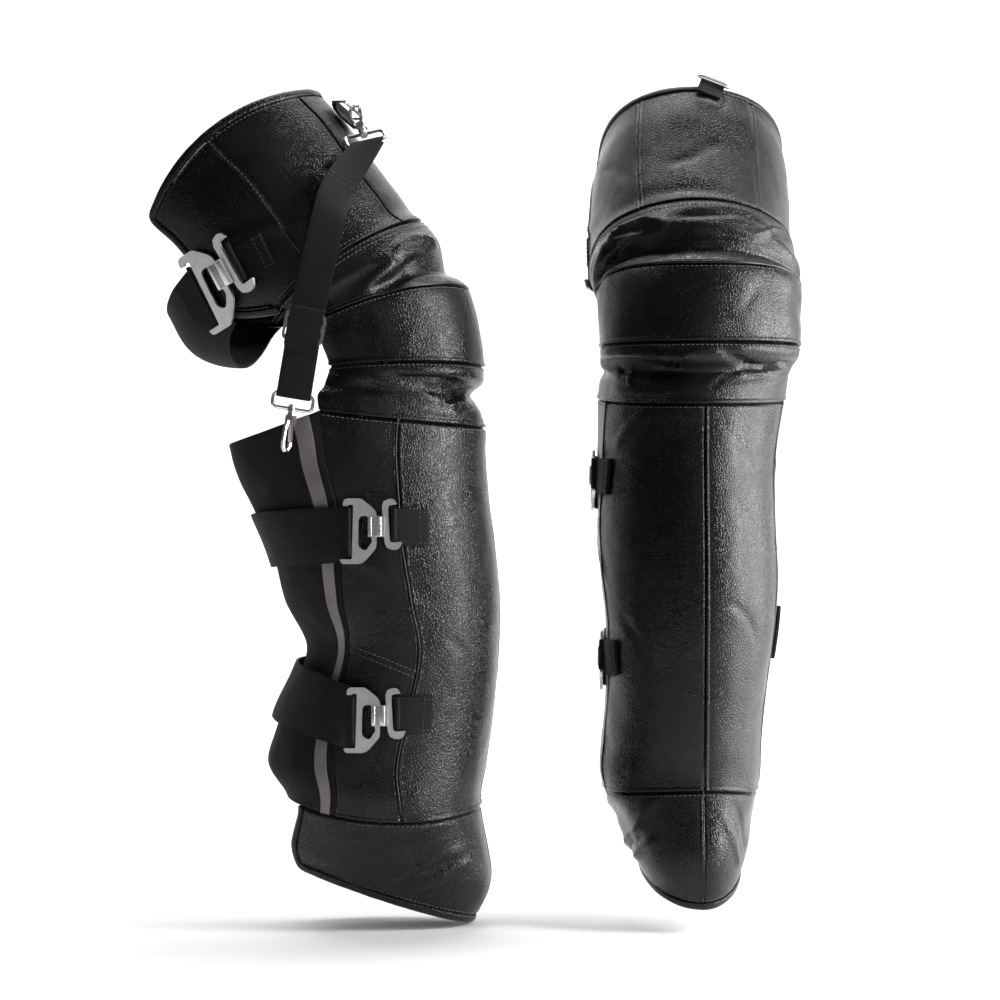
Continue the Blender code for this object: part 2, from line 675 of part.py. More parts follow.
def wire(name, line, radius, material, closed=False, sides=8):
    """Sweep a round wire that stays in its own XZ plane along a line of (x, z)."""
    work = bmesh.new()
    points = [Vector((x, 0, z)) for x, z in line]
    count = len(points)
    rings = []
    for index, point in enumerate(points):
        before = points[index - 1] if closed or index else point
        after = points[(index + 1) % count] if closed or index < count - 1 else point
        along = (after - before).normalized()
        side = Vector((0, 1, 0)).cross(along)
        turns = [2 * math.pi * k / sides for k in range(sides)]
        spokes = [math.cos(turn) * side + math.sin(turn) * Vector((0, 1, 0)) for turn in turns]
        rings.append([work.verts.new(point + radius * spoke) for spoke in spokes])
    pairs = list(zip(rings, rings[1:] + rings[:1])) if closed else list(zip(rings, rings[1:]))
    for ring, following in pairs:
        for k in range(sides):
            work.faces.new((ring[k], ring[(k + 1) % sides], following[(k + 1) % sides], following[k]))
    if not closed:
        work.faces.new(rings[0])
        work.faces.new(rings[-1])
    bmesh.ops.recalc_face_normals(work, faces=work.faces)
    return finish_mesh(name, work, material, None)


def combine(target, tool, operation):
    """Join or cut with another piece, which stays as a hidden guide."""
    tool.parent = target
    tool.hide_render = True
    tool.display_type = "WIRE"
    step = target.modifiers.new(f"{operation.lower()} {tool.name}", "BOOLEAN")
    step.operation = operation
    step.object = tool


def stand(piece, matrix, parent):
    piece.parent = parent
    piece.matrix_local = matrix


def buckle(tag, name, place, parent, looks):
    """A hooked frame, the anchor that it is fastened to and the folded clip between them."""
    matrix, _, _, scale = place
    metal = looks["buckle_metal"]
    wall = BUCKLE_WALL
    frame = plate(f"{tag}_{name}", [rounded(FRAME_OUTLINE, scale), rounded(FRAME_HOLE, scale)], wall, metal)
    anchor = plate(f"guide_{tag}_{name}_anchor", [rounded(ANCHOR_OUTLINE, scale)], wall * 1.02, metal)
    half = Vector(CLIP_SIZE) * MM / 2
    half.x *= scale
    half.y *= scale
    middle = Vector((CLIP_CENTRE[0] * MM * scale, CLIP_CENTRE[1] * MM * scale, CLIP_CENTRE[2] * MM))
    clip = block(f"guide_{tag}_{name}_clip", middle - half, middle + half, metal)
    combine(frame, anchor, "UNION")
    combine(frame, clip, "UNION")
    stand(frame, matrix, parent)


def rectangle_line(width, height, corner, steps=3):
    """Return the middle line of a rectangular ring, its lower bar on z = 0."""
    line = []
    for x_side, z_side, first in ((1, 1, 0), (-1, 1, 90), (-1, 0, 180), (1, 0, 270)):
        centre_x = x_side * (width / 2 - corner)
        centre_z = height - corner if z_side else corner
        for step in range(steps + 1):
            turn = math.radians(first + 90 * step / steps)
            line.append((centre_x + corner * math.cos(turn), centre_z + corner * math.sin(turn)))
    return line


def hook_parts(prefix, metal):
    """Return the hook's wire and its hinge block."""
    line = [(x * MM, z * MM) for x, z in HOOK_LINE]
    hook = wire(prefix, line, HOOK_WIRE, metal)
    pivot_x, pivot_z = GATE_PIVOT
    shoulder = block(f"guide_{prefix}_shoulder", (-2.2 * MM, -SHOULDER_HALF, pivot_z - 2.2 * MM),
                     (pivot_x + 2.2 * MM, SHOULDER_HALF, -5 * MM), metal)
    return hook, shoulder


def gate_outline():
    """Return the gate as a straight bar with round ends, in the hook's XZ plane."""
    start, end = Vector(GATE_PIVOT), Vector(GATE_TIP)
    along = (end - start).normalized()
    side = Vector((-along.y, along.x))
    outline = []
    for centre, first in ((start, 90), (end, -90)):
        for step in range(6):
            turn = math.radians(first + 36 * step)
            outline.append(centre + GATE_HALF_WIDTH * (math.cos(turn) * along + math.sin(turn) * side))
    return outline


def hinge_hole():
    return [Vector(GATE_PIVOT) + HINGE_HOLE * Vector((math.cos(turn), math.sin(turn)))
            for turn in (2 * math.pi * k / 10 for k in range(10))]


def gate_plate(name, outlines, metal):
    gate = plate(name, outlines, 2 * GATE_HALF_WALL, metal)
    lay_over = Matrix.Rotation(math.radians(90), 4, "X") @ Matrix.Translation((0, 0, -GATE_HALF_WALL))
    gate.data.transform(lay_over)
    return gate


def snap_hook(tag, matrix, turn, parent, looks):
    """The free snap hook: its eye, the hook that swivels in it on a pin, and the sprung gate."""
    metal = looks["snap_metal"]
    eye = wire(f"{tag}_snap_eye", rectangle_line(EYE_WIDTH, EYE_HEIGHT, EYE_CORNER), WIRE, metal, closed=True)
    boss = rod(f"guide_{tag}_boss", (0, 0, -BOSS_HALF), (0, 0, BOSS_HALF), BOSS_RADIUS, metal)
    bore = rod(f"guide_{tag}_bore", (0, 0, -2 * BOSS_HALF), (0, 0, 2 * BOSS_HALF), BORE_RADIUS, metal)
    combine(eye, boss, "UNION")
    combine(eye, bore, "DIFFERENCE")
    stand(eye, matrix, parent)

    hook, shoulder = hook_parts(f"{tag}_snap_hook", metal)
    pivot_x, pivot_z = GATE_PIVOT
    slot = block(f"guide_{tag}_slot", (pivot_x - 2.2 * MM, -SLOT_HALF, pivot_z - 3 * MM),
                 (pivot_x + 3 * MM, SLOT_HALF, pivot_z + 2.4 * MM), metal)
    above, below = BOSS_HALF + CLEAR, -BOSS_HALF - CLEAR
    pin = rod(f"guide_{tag}_pin", (0, 0, below - 2 * MM), (0, 0, above + 1 * MM), PIN_RADIUS, metal)
    head = rod(f"guide_{tag}_head", (0, 0, above), (0, 0, above + HEAD[1]), HEAD[0], metal)
    collar = rod(f"guide_{tag}_collar", (0, 0, below - COLLAR[1]), (0, 0, below), COLLAR[0], metal)
    hinge = rod(f"guide_{tag}_hinge", (pivot_x, -HINGE_HALF, pivot_z), (pivot_x, HINGE_HALF, pivot_z),
                HINGE_PIN, metal, sides=8)
    combine(hook, shoulder, "UNION")
    combine(hook, slot, "DIFFERENCE")
    for extra in (pin, head, collar, hinge):
        combine(hook, extra, "UNION")
    swivel = matrix @ Matrix.Rotation(math.radians(turn), 4, "Z")
    stand(hook, swivel, parent)
    stand(gate_plate(f"{tag}_snap_gate", [gate_outline(), hinge_hole()], metal), swivel, parent)


def upper_snap(tag, matrix, parent, looks):
    """The snap hook that is clipped to the ring: the same form, closed and in one piece."""
    metal = looks["snap_metal"]
    hook, shoulder = hook_parts(f"{tag}_upper_snap", metal)
    level = (matrix.to_3x3().inverted() @ Vector((1, 0, 0)))
    eye_turn = math.atan2(level.y, level.x)
    eye = wire(f"guide_{tag}_upper_eye", rectangle_line(EYE_WIDTH, EYE_HEIGHT, EYE_CORNER), WIRE, metal,
               closed=True)
    eye.data.transform(Matrix.Rotation(eye_turn, 4, "Z"))
    boss = rod(f"guide_{tag}_upper_boss", (0, 0, -6 * MM), (0, 0, BOSS_HALF), BOSS_RADIUS, metal)
    gate = gate_plate(f"guide_{tag}_upper_gate", [gate_outline()], metal)
    for extra in (shoulder, boss, eye, gate):
        combine(hook, extra, "UNION")
    stand(hook, matrix, parent)
    bar = matrix.to_3x3() @ Vector((math.cos(eye_turn), math.sin(eye_turn), 0))
    return matrix @ Vector((0, 0, EYE_HEIGHT)), bar


def top_loop(tag, at, parent, looks):
    """The webbing loop near the top edge and the ring that it holds; returns the ring's frame."""
    row, angle, tilt = at
    matrix = plate_on_tube(row, angle, LOOP_LIFT, tilt)[0]
    bar = WIRE + CLEAR
    thick = WEBBING_WALL
    height = bar + thick
    # The loop's profile: x down the leg, y away from it, round the ring's bar and back to a flat tail.
    outline = [Vector((-LOOP_LENGTH, 0)), Vector((-LOOP_LENGTH, thick)), Vector((-2.6 * height, thick))]
    outline += [Vector((-1.5 * height, 1.5 * height)), Vector((-0.7 * height, 1.9 * height))]
    outline += [height * Vector((math.cos(turn), 1 + math.sin(turn)))
                for turn in (math.radians(90 - 30 * k) for k in range(7))]
    hole = [Vector((0, height)) + bar * Vector((math.cos(turn), math.sin(turn)))
            for turn in (2 * math.pi * k / 10 for k in range(10))]
    loop = plate(f"{tag}_top_loop", [outline, hole], LOOP_WIDTH, looks["webbing"])
    # The profile lies in the plate's x and y: y turns outward, and the extrusion runs along the ring's bar.
    onto_leg = Matrix(((0, 0, 1, -LOOP_WIDTH / 2), (1, 0, 0, 0), (0, 1, 0, 0), (0, 0, 0, 1)))
    loop.data.transform(onto_leg)
    stand(loop, matrix, parent)

    line = rectangle_line(RING_WIDTH, RING_HEIGHT, RING_CORNER)
    ring = wire(f"{tag}_top_ring", line, WIRE, looks["snap_metal"], closed=True)
    raised = math.radians(RING_RAISED)
    ring.data.transform(Matrix.Translation((0, 0, -RING_HEIGHT)))
    ring.data.transform(Matrix.Rotation(-math.pi / 2 - raised, 4, "X"))
    ring.data.transform(Matrix.Translation((0, 0, height)))
    stand(ring, matrix, parent)
    lower_bar = (0, -RING_HEIGHT * math.cos(raised), height + RING_HEIGHT * math.sin(raised))
    return matrix @ Matrix.Translation(lower_bar)


def upper_snap_frame(ring_bar):
    """Hang the upper snap on the ring's lower bar, turned to lie round the thigh towards the strap."""
    bar = (ring_bar.to_3x3() @ Vector((-1, 0, 0))).normalized()
    outward = (ring_bar.to_3x3() @ Vector((0, 0, 1))).normalized()
    down_leg = -(ring_bar.to_3x3() @ Vector((0, 1, 0))).normalized()
    lean = math.radians(UPPER_SNAP_LEAN)
    from_ring = (down_leg * math.cos(lean) - outward * math.sin(lean)).normalized()
    side = bar.cross(from_ring)
    axes = Matrix((side, bar, from_ring)).transposed().to_4x4()
    hold = Matrix.Translation((-RING_IN_HOOK[0], 0, -RING_IN_HOOK[1]))
    return Matrix.Translation(ring_bar.translation) @ axes @ hold


def strap_stations(top, bar):
    """Return the strap's middle points and width directions; the first width is the upper eye's bar."""
    points = [top] + [Vector(station[:3]) * MM for station in STRAP_LINE]
    widths = [-bar]
    for index, station in enumerate(STRAP_LINE, start=1):
        along = points[min(index + 1, len(points) - 1)] - points[index - 1]
        turn = math.radians(station[3])
        widths.append(along.cross(Vector((math.sin(turn), -math.cos(turn), 0))).normalized())
    return points, widths


def on_line(items, share):
    """Read a smooth curve through a list of vectors."""
    place = share * (len(items) - 1)
    base = min(int(place), len(items) - 2)
    t = place - base
    before, start, end, after = (items[min(max(base + k, 0), len(items) - 1)] for k in (-1, 0, 1, 2))
    return 0.5 * (2 * start + (end - before) * t + (2 * before - 5 * start + 4 * end - after) * t ** 2
                  + (3 * start - before - 3 * end + after) * t ** 3)


def strap_frame(points, widths, share):
    """Return the strap's point, direction, face and width directions."""
    width = on_line(widths, share).normalized()
    along = on_line(points, min(share + 0.01, 1)) - on_line(points, max(share - 0.01, 0))
    face = width.cross(along).normalized()
    return on_line(points, share), face.cross(width), face, width


def hanging_strap(tag, top, bar, parent, looks):
    """One length of webbing: round the upper eye, down through the slider, round the lower eye and back."""
    points, widths = strap_stations(top, bar)
    # share of the line, offset outward and offset past the line's end
    route = [(0.16, -LAYER_OFFSET, 0), (0.08, -LAYER_OFFSET, 0), (0.02, -LOOP_OFFSET, 0)]
    route += [(0.0, -LOOP_OFFSET * math.cos(turn), -LOOP_OFFSET * math.sin(turn))
              for turn in (math.radians(30 * k) for k in range(7))]
    route += [(0.02, LOOP_OFFSET, 0), (0.10, 0.4 * LOOP_OFFSET, 0)]
    route += [(0.16 + 0.06 * k, 0.2 * LOOP_OFFSET, 0) for k in range(13)]
    route += [(0.96, 0.7 * LOOP_OFFSET, 0), (0.985, LOOP_OFFSET, 0)]
    route += [(1.0, LOOP_OFFSET * math.cos(turn), LOOP_OFFSET * math.sin(turn))
              for turn in (math.radians(30 * k) for k in range(7))]
    route += [(0.985, -LOOP_OFFSET, 0), (0.95, -LAYER_OFFSET, 0), (0.86, -LAYER_OFFSET, 0),
              (0.78, -LAYER_OFFSET, 0), (0.72, -LAYER_OFFSET, 0)]
    centre, wide = [], []
    for share, offset, past in route:
        point, along, face, width = strap_frame(points, widths, share)
        centre.append(point + face * offset + along * past)
        wide.append(width)
    outer, inner = [], []
    for index, (point, width) in enumerate(zip(centre, wide)):
        before, after = centre[max(index - 1, 0)], centre[min(index + 1, len(centre) - 1)]
        face = width.cross((after - before).normalized()).normalized()
        for side, lines in ((-1, outer), (1, inner)):
            middle = point + face * side * STRAP_WALL / 2
            lines.append([middle - width * STRAP_WIDTH / 2, middle + width * STRAP_WIDTH / 2])
    walled_sheet(f"{tag}_hanging_strap", outer, inner, parent, looks["webbing"])

    point, along, face, width = strap_frame(points, widths, SLIDER_AT)
    half_x, half_y = (size / 2 / MM for size in SLIDER_SIZE)
    slot_x, slot_y = (size / 2 / MM for size in SLIDER_SLOT)
    outlines = [rounded_rectangle(half_x, half_y, 0, SLIDER_CORNER)]
    for middle in (-SLIDER_SLOT_AT, SLIDER_SLOT_AT):
        outlines.append(rounded_rectangle(slot_x, slot_y, middle, SLIDER_SLOT_CORNER))
    slider = plate(f"{tag}_slider", outlines, SLIDER_WALL, looks["snap_metal"])
    axes = Matrix((width, -along, face)).transposed().to_4x4()
    front = 0.2 * LOOP_OFFSET + STRAP_WALL / 2 + 1.4 * CLEAR
    stand(slider, Matrix.Translation(point + face * front) @ axes, parent)

    point, along, face, width = strap_frame(points, widths, 1.0)
    axes = Matrix((-width, along.cross(width), -along)).transposed().to_4x4()
    return Matrix.Translation(point) @ axes @ Matrix.Translation((0, 0, -EYE_HEIGHT))


def build():
    clear_scene()
    looks = make_materials()
    for tag, x, z, turn, rise, loop_at, strapped in WARMERS:
        parent = bpy.data.objects.new(f"{tag}_frame", None)
        bpy.context.collection.objects.link(parent)
        parent.location = (x, 0, z)
        parent.rotation_euler = (0, 0, math.radians(turn))
        thigh(tag, parent, looks)
        knee(tag, parent, looks)
        lower_leg(tag, parent, looks)
        foot(tag, parent, looks)

        calf_row = row_at_height(CALF_BUCKLE_HEIGHT + rise)
        ankle_row = row_at_height(ANKLE_BUCKLE_HEIGHT + rise)
        calf_place = plate_on_tube(calf_row, CALF_BUCKLE_ANGLE, BUCKLE_LIFT, 0)
        ankle_place = plate_on_tube(ankle_row, ANKLE_BUCKLE_ANGLE, BUCKLE_LIFT, 0)
        thigh_place = plate_on_tube(THIGH_BUCKLE_ROW, THIGH_BUCKLE_ANGLE, BUCKLE_LIFT, THIGH_BUCKLE_TURN,
                                    THIGH_BUCKLE_SCALE)
        lower_elastic(tag, "calf_elastic", CALF_ROUTE, CALF_ELASTIC_LIFT, rise, calf_place, parent, looks)
        lower_elastic(tag, "ankle_elastic", ANKLE_ROUTE, ANKLE_ELASTIC_LIFT, rise, ankle_place, parent, looks)
        thigh_elastic(tag, thigh_place, parent, looks)
        for name, place in (("calf", calf_place), ("ankle", ankle_place), ("thigh", thigh_place)):
            buckle(tag, f"{name}_buckle", place, parent, looks)
            tab(tag, f"{name}_tab", place, parent, looks)
        ring_bar = top_loop(tag, loop_at, parent, looks)
        if strapped:
            snap = upper_snap_frame(ring_bar)
            top, bar = upper_snap(tag, snap, parent, looks)
            strap_end = hanging_strap(tag, top, bar, parent, looks)
            snap_hook(tag, strap_end, LOWER_SNAP_TURN, parent, looks)


build()
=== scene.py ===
# The looks of a pair of leather leg warmers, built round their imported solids.
# Cloth pieces are thin shells on the solids' own surface, with seams, stitching, folds and weave.
# Units are metres. In a warmer's own frame X points forward and the outer side is -Y.

import math

import bmesh
import bpy
import numpy as np
from mathutils import Matrix, Vector, noise
from mathutils.bvhtree import BVHTree


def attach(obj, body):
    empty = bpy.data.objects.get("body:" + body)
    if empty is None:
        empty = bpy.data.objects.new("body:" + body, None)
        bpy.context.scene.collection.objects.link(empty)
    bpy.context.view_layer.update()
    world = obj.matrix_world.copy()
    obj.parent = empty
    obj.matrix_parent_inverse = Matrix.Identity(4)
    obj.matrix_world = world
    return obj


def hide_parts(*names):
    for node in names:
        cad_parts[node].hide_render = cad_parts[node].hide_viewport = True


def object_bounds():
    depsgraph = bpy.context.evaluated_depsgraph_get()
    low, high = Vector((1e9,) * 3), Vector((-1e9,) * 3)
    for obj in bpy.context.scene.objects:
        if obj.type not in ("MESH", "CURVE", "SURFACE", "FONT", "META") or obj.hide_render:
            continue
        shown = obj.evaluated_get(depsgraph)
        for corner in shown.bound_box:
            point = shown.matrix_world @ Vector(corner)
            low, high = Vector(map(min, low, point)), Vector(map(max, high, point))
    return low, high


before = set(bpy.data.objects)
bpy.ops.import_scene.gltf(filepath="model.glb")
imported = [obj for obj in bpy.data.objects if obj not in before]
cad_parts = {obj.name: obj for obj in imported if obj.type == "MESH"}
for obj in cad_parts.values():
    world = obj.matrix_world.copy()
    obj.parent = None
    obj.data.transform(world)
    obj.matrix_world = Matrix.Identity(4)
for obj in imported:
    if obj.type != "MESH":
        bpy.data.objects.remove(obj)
cad_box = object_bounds()

MM = 0.001

# The sections of the tube, in millimetres, as in the solids:
# rear x, rear z, front x, front z, outer half-width, inner half-width, angle of the leather's edge
SECTIONS = (
    ("below hem", -104, -456, 36, -518, 38, 28, 117),
    ("hem", -106, -436, 53, -490, 47, 36, 117),
    ("flare", -112, -417, 69, -450, 64, 45, 117),
    ("foot seam", -104, -383, 60, -390, 82, 53, 117),
    ("ankle", -120, -353, 65, -353, 81, 55, 110),
    ("lower calf", -110, -315, 70, -315, 78, 58, 114),
    ("calf waist", -88, -259, 75, -259, 78, 64, 122),
    ("calf label", -106, -217, 76, -217, 82, 68, 115),
    ("calf", -118, -174, 72, -174, 85, 67, 110),
    ("upper calf", -133, -132, 67, -132, 84, 67, 105),
    ("wrap top", -150, -93, 64, -93, 84, 72, 103),
    ("shin seam", -160, -40, 64, -70, 83, 79, 102),
    ("pinch", -126, -34, 56, -45, 81, 81, 111),
    ("cap seam", -97, -23, 63, -18, 83, 88, 127),
    ("knee cap", -105, -6, 57, 16, 84, 91, 125),
    ("band seam", -111, 4, 49, 48, 85, 91, 122),
    ("band valley", -115, 6, 31, 64, 86, 91, 122),
    ("band ridge", -121, 4, 24, 85, 88, 90, 122),
    ("thigh seam", -126, 0, 9, 105, 90, 89, 124),
    ("low thigh", -168, 7, -7, 125, 89, 89, 140),
    ("mid thigh", -189, 38, -32, 157, 88, 90, 140),
    ("high thigh", -211, 65, -55, 190, 85, 91, 140),
    ("top edge", -227, 79, -79, 215, 80, 90, 140),
    ("above top", -250, 104, -102, 240, 76, 88, 140),
)
ROW = {section[0]: index for index, section in enumerate(SECTIONS)}
COLUMNS = np.array([section[1:] for section in SECTIONS], dtype=float)
COLUMNS[:, :6] *= MM
BOW = {"hem": 0.0, "foot seam": -0.2, "shin seam": -0.2, "cap seam": 0.1, "band seam": 0.6,
       "thigh seam": 0.5, "top edge": 0.68}

# The solids' folds: row, angle, height in millimetres, half-width in rows, in degrees, slope
FOLDS = (
    (16.0, 35, -6.0, 0.35, 42, 0.35),
    (16.5, 60, 3.5, 0.35, 26, -0.30),
    (17.2, 48, 4.0, 0.40, 40, 0.25),
    (17.4, -20, 3.0, 0.45, 34, 0.10),
    (15.9, -50, -4.0, 0.35, 30, -0.30),
    (16.6, -62, 3.0, 0.40, 24, 0.20),
    (14.0, 10, 2.5, 0.70, 60, 0.00),
    (14.2, -70, -1.8, 0.40, 26, 0.40),
    (12.1, 20, -5.0, 0.25, 38, 0.10),
    (12.2, -35, -4.5, 0.25, 30, -0.15),
    (12.6, 42, 3.2, 0.25, 30, 0.20),
    (12.5, -8, 3.4, 0.25, 26, -0.10),
    (12.6, -66, 2.6, 0.30, 28, 0.10),
    (11.6, 30, 2.6, 0.25, 36, 0.05),
    (11.6, -40, 2.4, 0.25, 32, -0.05),
    (12.0, 82, -3.0, 0.30, 24, 0.15),
    (18.6, 20, -2.5, 0.35, 32, 0.20),
    (2.3, 62, -3.5, 0.35, 24, 0.50),
    (2.0, 38, 2.5, 0.40, 22, 0.50),
    (2.3, -58, -3.0, 0.35, 24, -0.50),
    (6.0, 140, -5.0, 0.90, 22, 0.00),
    (9.2, 168, 4.0, 0.80, 20, 0.00),
    (7.3, -150, -4.0, 0.80, 24, 0.00),
)

# Creases that only the looks have, each a soft ridge (+) or trough (-) along a line on the tube:
# height in millimetres, half-width in millimetres, the line's places as row and angle
SIDE_CREASES = (
    (3.4, 3.0, ((17.15, 56), (17.38, 52), (17.48, 44), (17.43, 36), (17.18, 24), (16.88, 18))),
    (-2.0, 1.8, ((17.18, 50), (17.08, 42), (16.83, 30))),
    (1.6, 2.4, ((17.08, 54), (16.88, 44), (16.63, 26))),
    (3.6, 6.0, ((17.03, 58), (16.83, 64), (16.48, 74), (15.70, 92))),
    (-5.0, 6.0, ((16.50, 32), (16.48, 48), (16.13, 58), (15.80, 70), (15.50, 84))),
    (2.4, 4.0, ((15.65, 84), (15.65, 66), (15.72, 45), (15.70, 20))),
    (3.2, 4.5, ((12.43, 94), (12.18, 76), (11.93, 58), (11.73, 46))),
    (-3.4, 3.4, ((12.50, 88), (12.43, 62), (12.43, 52), (12.28, 22))),
    (2.4, 4.0, ((12.73, 84), (12.72, 56), (12.70, 36), (12.60, 10))),
    (-2.6, 2.6, ((12.15, 57), (12.00, 54), (11.80, 52))),
    (2.6, 2.0, ((12.23, 48), (11.93, 46), (11.53, 46))),
    (-3.6, 2.6, ((11.73, 44), (12.03, 30), (12.28, 16))),
    (2.0, 1.8, ((11.53, 44), (11.83, 28), (11.95, 18))),
    (-2.4, 2.2, ((11.43, 38), (11.53, 30), (11.78, 12))),
    (1.6, 3.0, ((11.23, 64), (11.28, 48), (11.33, 28), (11.43, 8))),
    (1.8, 4.5, ((2.33, 124), (2.48, 98), (2.63, 80), (2.78, 56), (2.80, 40))),
    (-1.2, 4.0, ((2.10, 110), (2.28, 92), (2.42, 76), (2.58, 56))),
    (2.2, 3.4, ((1.45, 92), (1.88, 80), (2.13, 68), (2.33, 54), (2.45, 38))),
    (-1.5, 2.6, ((1.55, 82), (1.92, 70), (2.16, 57), (2.32, 42))),
    (2.0, 3.0, ((1.60, 73), (1.88, 60), (2.13, 48), (2.30, 30))),
    (-1.2, 5.0, ((9.6, 110), (8.7, 98), (8.2, 86))),
    (-1.0, 5.0, ((5.3, 30), (5.9, 45), (6.3, 60))),
    (1.0, 5.0, ((6.8, 70), (7.6, 90), (8.0, 112))),
    (-1.2, 5.0, ((19.5, 40), (20.2, 52), (20.6, 66))),
    (1.2, 6.0, ((19.3, 70), (19.9, 95), (20.3, 125))),
)
FRONT_CREASES = (
    (-3.4, 4.0, ((17.15, 18), (17.28, -6), (17.48, -24), (17.28, -34))),
    (3.0, 4.0, ((16.65, 8), (16.73, -16), (16.68, -30), (17.08, -38), (17.70, -50), (18.35, -60))),
    (-3.0, 4.0, ((17.13, -40), (17.38, -50), (17.95, -66))),
    (1.4, 3.0, ((16.70, 28), (16.83, 18))),
    (2.2, 4.5, ((16.05, 34), (16.15, 0), (16.18, -36), (16.18, -54), (16.15, -74))),
    (-2.4, 4.0, ((12.72, 72), (12.75, 38), (12.70, 14))),
    (1.2, 3.0, ((12.45, 38), (12.48, 22))),
    (1.8, 2.5, ((12.30, 22), (12.60, 8), (12.70, -4), (12.55, -12))),
    (-4.2, 3.6, ((12.70, -8), (12.38, -22), (12.18, -34), (12.28, -54), (12.43, -74))),
    (2.6, 5.0, ((12.80, -12), (12.75, -36), (12.68, -66))),
    (2.8, 3.5, ((11.85, -4), (11.93, -20), (12.05, -44), (12.12, -82))),
    (-1.8, 2.0, ((11.50, -4), (11.85, -12), (12.00, -22))),
    (-1.0, 3.0, ((13.70, -20), (14.20, -27), (14.60, -33))),
    (-1.0, 4.0, ((9.9, -18), (9.5, -32), (8.9, -44))),
    (-1.0, 4.0, ((8.6, -20), (8.2, -34), (7.6, -46))),
    (-1.0, 4.0, ((6.6, -16), (6.3, -32), (5.8, -46))),
    (1.2, 5.0, ((10.6, 30), (10.2, 45), (9.6, 60))),
    (1.6, 4.0, ((2.6, -20), (2.2, -35), (1.7, -50))),
    (-1.4, 3.5, ((2.8, -30), (2.4, -45), (1.9, -62))),
    (1.4, 4.0, ((2.9, 25), (2.5, 45), (2.0, 62))),
    (-1.2, 5.0, ((20.2, -15), (19.7, 0), (19.5, 18))),
)
HALF_CREASE_END = 0.22

# Walls and trims, as in the solids
LEATHER_WALL = 3.0 * MM
WRAP_WALL = 2.2 * MM
HALF_SEAM = 0.15 * MM
CLEAR = 0.3 * MM
TAPE_WALL = 0.6 * MM
TAPE_GAP = 0.15 * MM
ELASTIC_WALL = 2.0 * MM
CALF_ELASTIC_LIFT = 2.4 * MM
ANKLE_ELASTIC_LIFT = 5.6 * MM
ELASTIC_WIDTH = 45 * MM
WEBBING_WALL = 1.8 * MM
THIGH_SEAM_OUTER = 34
THIGH_SEAM_INNER = -36
SIDE_SEAM_TOP = 68
SIDE_SEAM_LOW = 78
TAPE_ENDS = (0.03, 0.08)
BINDING_ROWS = 0.2
BINDING_DEGREES = 4.5
THIGH_EDGE = 140
FOOT_EDGE = 147.5
WRAP_DROP = 0.84

# Straps and buckles, as in the solids
BUCKLE_LIFT = 2.8 * MM
ELASTIC_ON_BAR = 9
CALF_ROUTE = ((97, -159), (130, -162), (180, -166), (230, -163), (262, -160))
ANKLE_ROUTE = ((101, -312), (130, -302), (180, -292), (230, -288), (262, -288))
THIGH_ROUTE = ((139, 19.55, 4), (150, 19.5, 9), (165, 19.35, 16), (180, 19.2, 20), (196, 19.1, 18),
               (212, 19.1, 11), (224, 19.2, 4.6), (244, 19.3, 1.4))
THIGH_ELASTIC_HALF_ROWS = 0.78
THIGH_ELASTIC_CLEAR_OF_BAR = 156
CALF_BUCKLE_HEIGHT = -158 * MM
CALF_BUCKLE_ANGLE = 91
ANKLE_BUCKLE_HEIGHT = -312 * MM
ANKLE_BUCKLE_ANGLE = 94
THIGH_BUCKLE_ROW = 19.6
THIGH_BUCKLE_ANGLE = 128
THIGH_BUCKLE_SCALE = 1.3
THIGH_BUCKLE_TURN = -8
SHAFT_X = 12 * MM
SHAFT_Y = 4 * MM
TAB_LENGTH = 42 * MM
TAB_WALL = 2.4 * MM
TAB_LIFT = 1.0 * MM
TAB_WIDTH = 30 * MM
LOOP_LIFT = 0.9 * MM
LOOP_WIDTH = 22 * MM
LOOP_LENGTH = 17 * MM
LOOP_WALL = 1.1 * MM
# The loop's two layers, below and above the ring's bar: share of its length, height in millimetres
LOOP_BELOW = ((-1.0, 0.6), (-0.5, 0.55), (-0.2, 0.6))
LOOP_ABOVE = ((-0.3, 2.7), (-0.55, 1.9), (-1.0, 1.75))
RING_HEIGHT = 14 * MM
RING_RAISED = 38
WIRE = 1.5 * MM
EYE_HEIGHT = 12 * MM
RING_IN_HOOK = (0.9 * MM, -30.2 * MM)
UPPER_SNAP_LEAN = 10
STRAP_LINE = (
    (-56, -80, 124, 20), (-63, -94.5, 95, 8), (-72, -97, 55, 0), (-81, -96, 14, 0),
    (-85, -94.5, -10, 0), (-91, -93, -46, 0),
)
STRAP_WALL = 1.8 * MM
STRAP_WIDTH = 28 * MM
LOOP_OFFSET = 2.75 * MM
LAYER_OFFSET = 2.3 * MM
# The strap over the slider: share of the way down, then height above the strap's line and step along the
# strap in millimetres
SLIDER_AT = 0.70
OVER_SLIDER = (
    (0.59, 0.4, 0), (0.62, 1.4, 0), (SLIDER_AT, 4.7, -14.5), (SLIDER_AT, 5.1, -9), (SLIDER_AT, 5.1, 0),
    (SLIDER_AT, 5.1, 9), (SLIDER_AT, 4.7, 14.5), (0.835, 1.4, 0), (0.87, 0.4, 0),
)
STRAP_STITCHES = (0.135, 0.150)
STRAP_STITCH_LENGTH = 2.6 * MM
OVER_SLIDER_WALL = 1.2 * MM
OVER_SLIDER_WIDTH = 27.6 * MM

# name, offset x, offset z, turn in degrees, rise of the lower straps, (row, angle, tilt) of the top loop,
# whether the hanging strap is on it
WARMERS = (
    ("side", 0.0, 0.0, 0, 0.0, (21.2, 8, -39), True),
    ("front", 245 * MM, 18 * MM, -90, 25 * MM, (22.1, -12, -17), False),
)

# How fine the shells are
SPACING = 2.8 * MM


# The tube's surface, for arrays of rows and angles

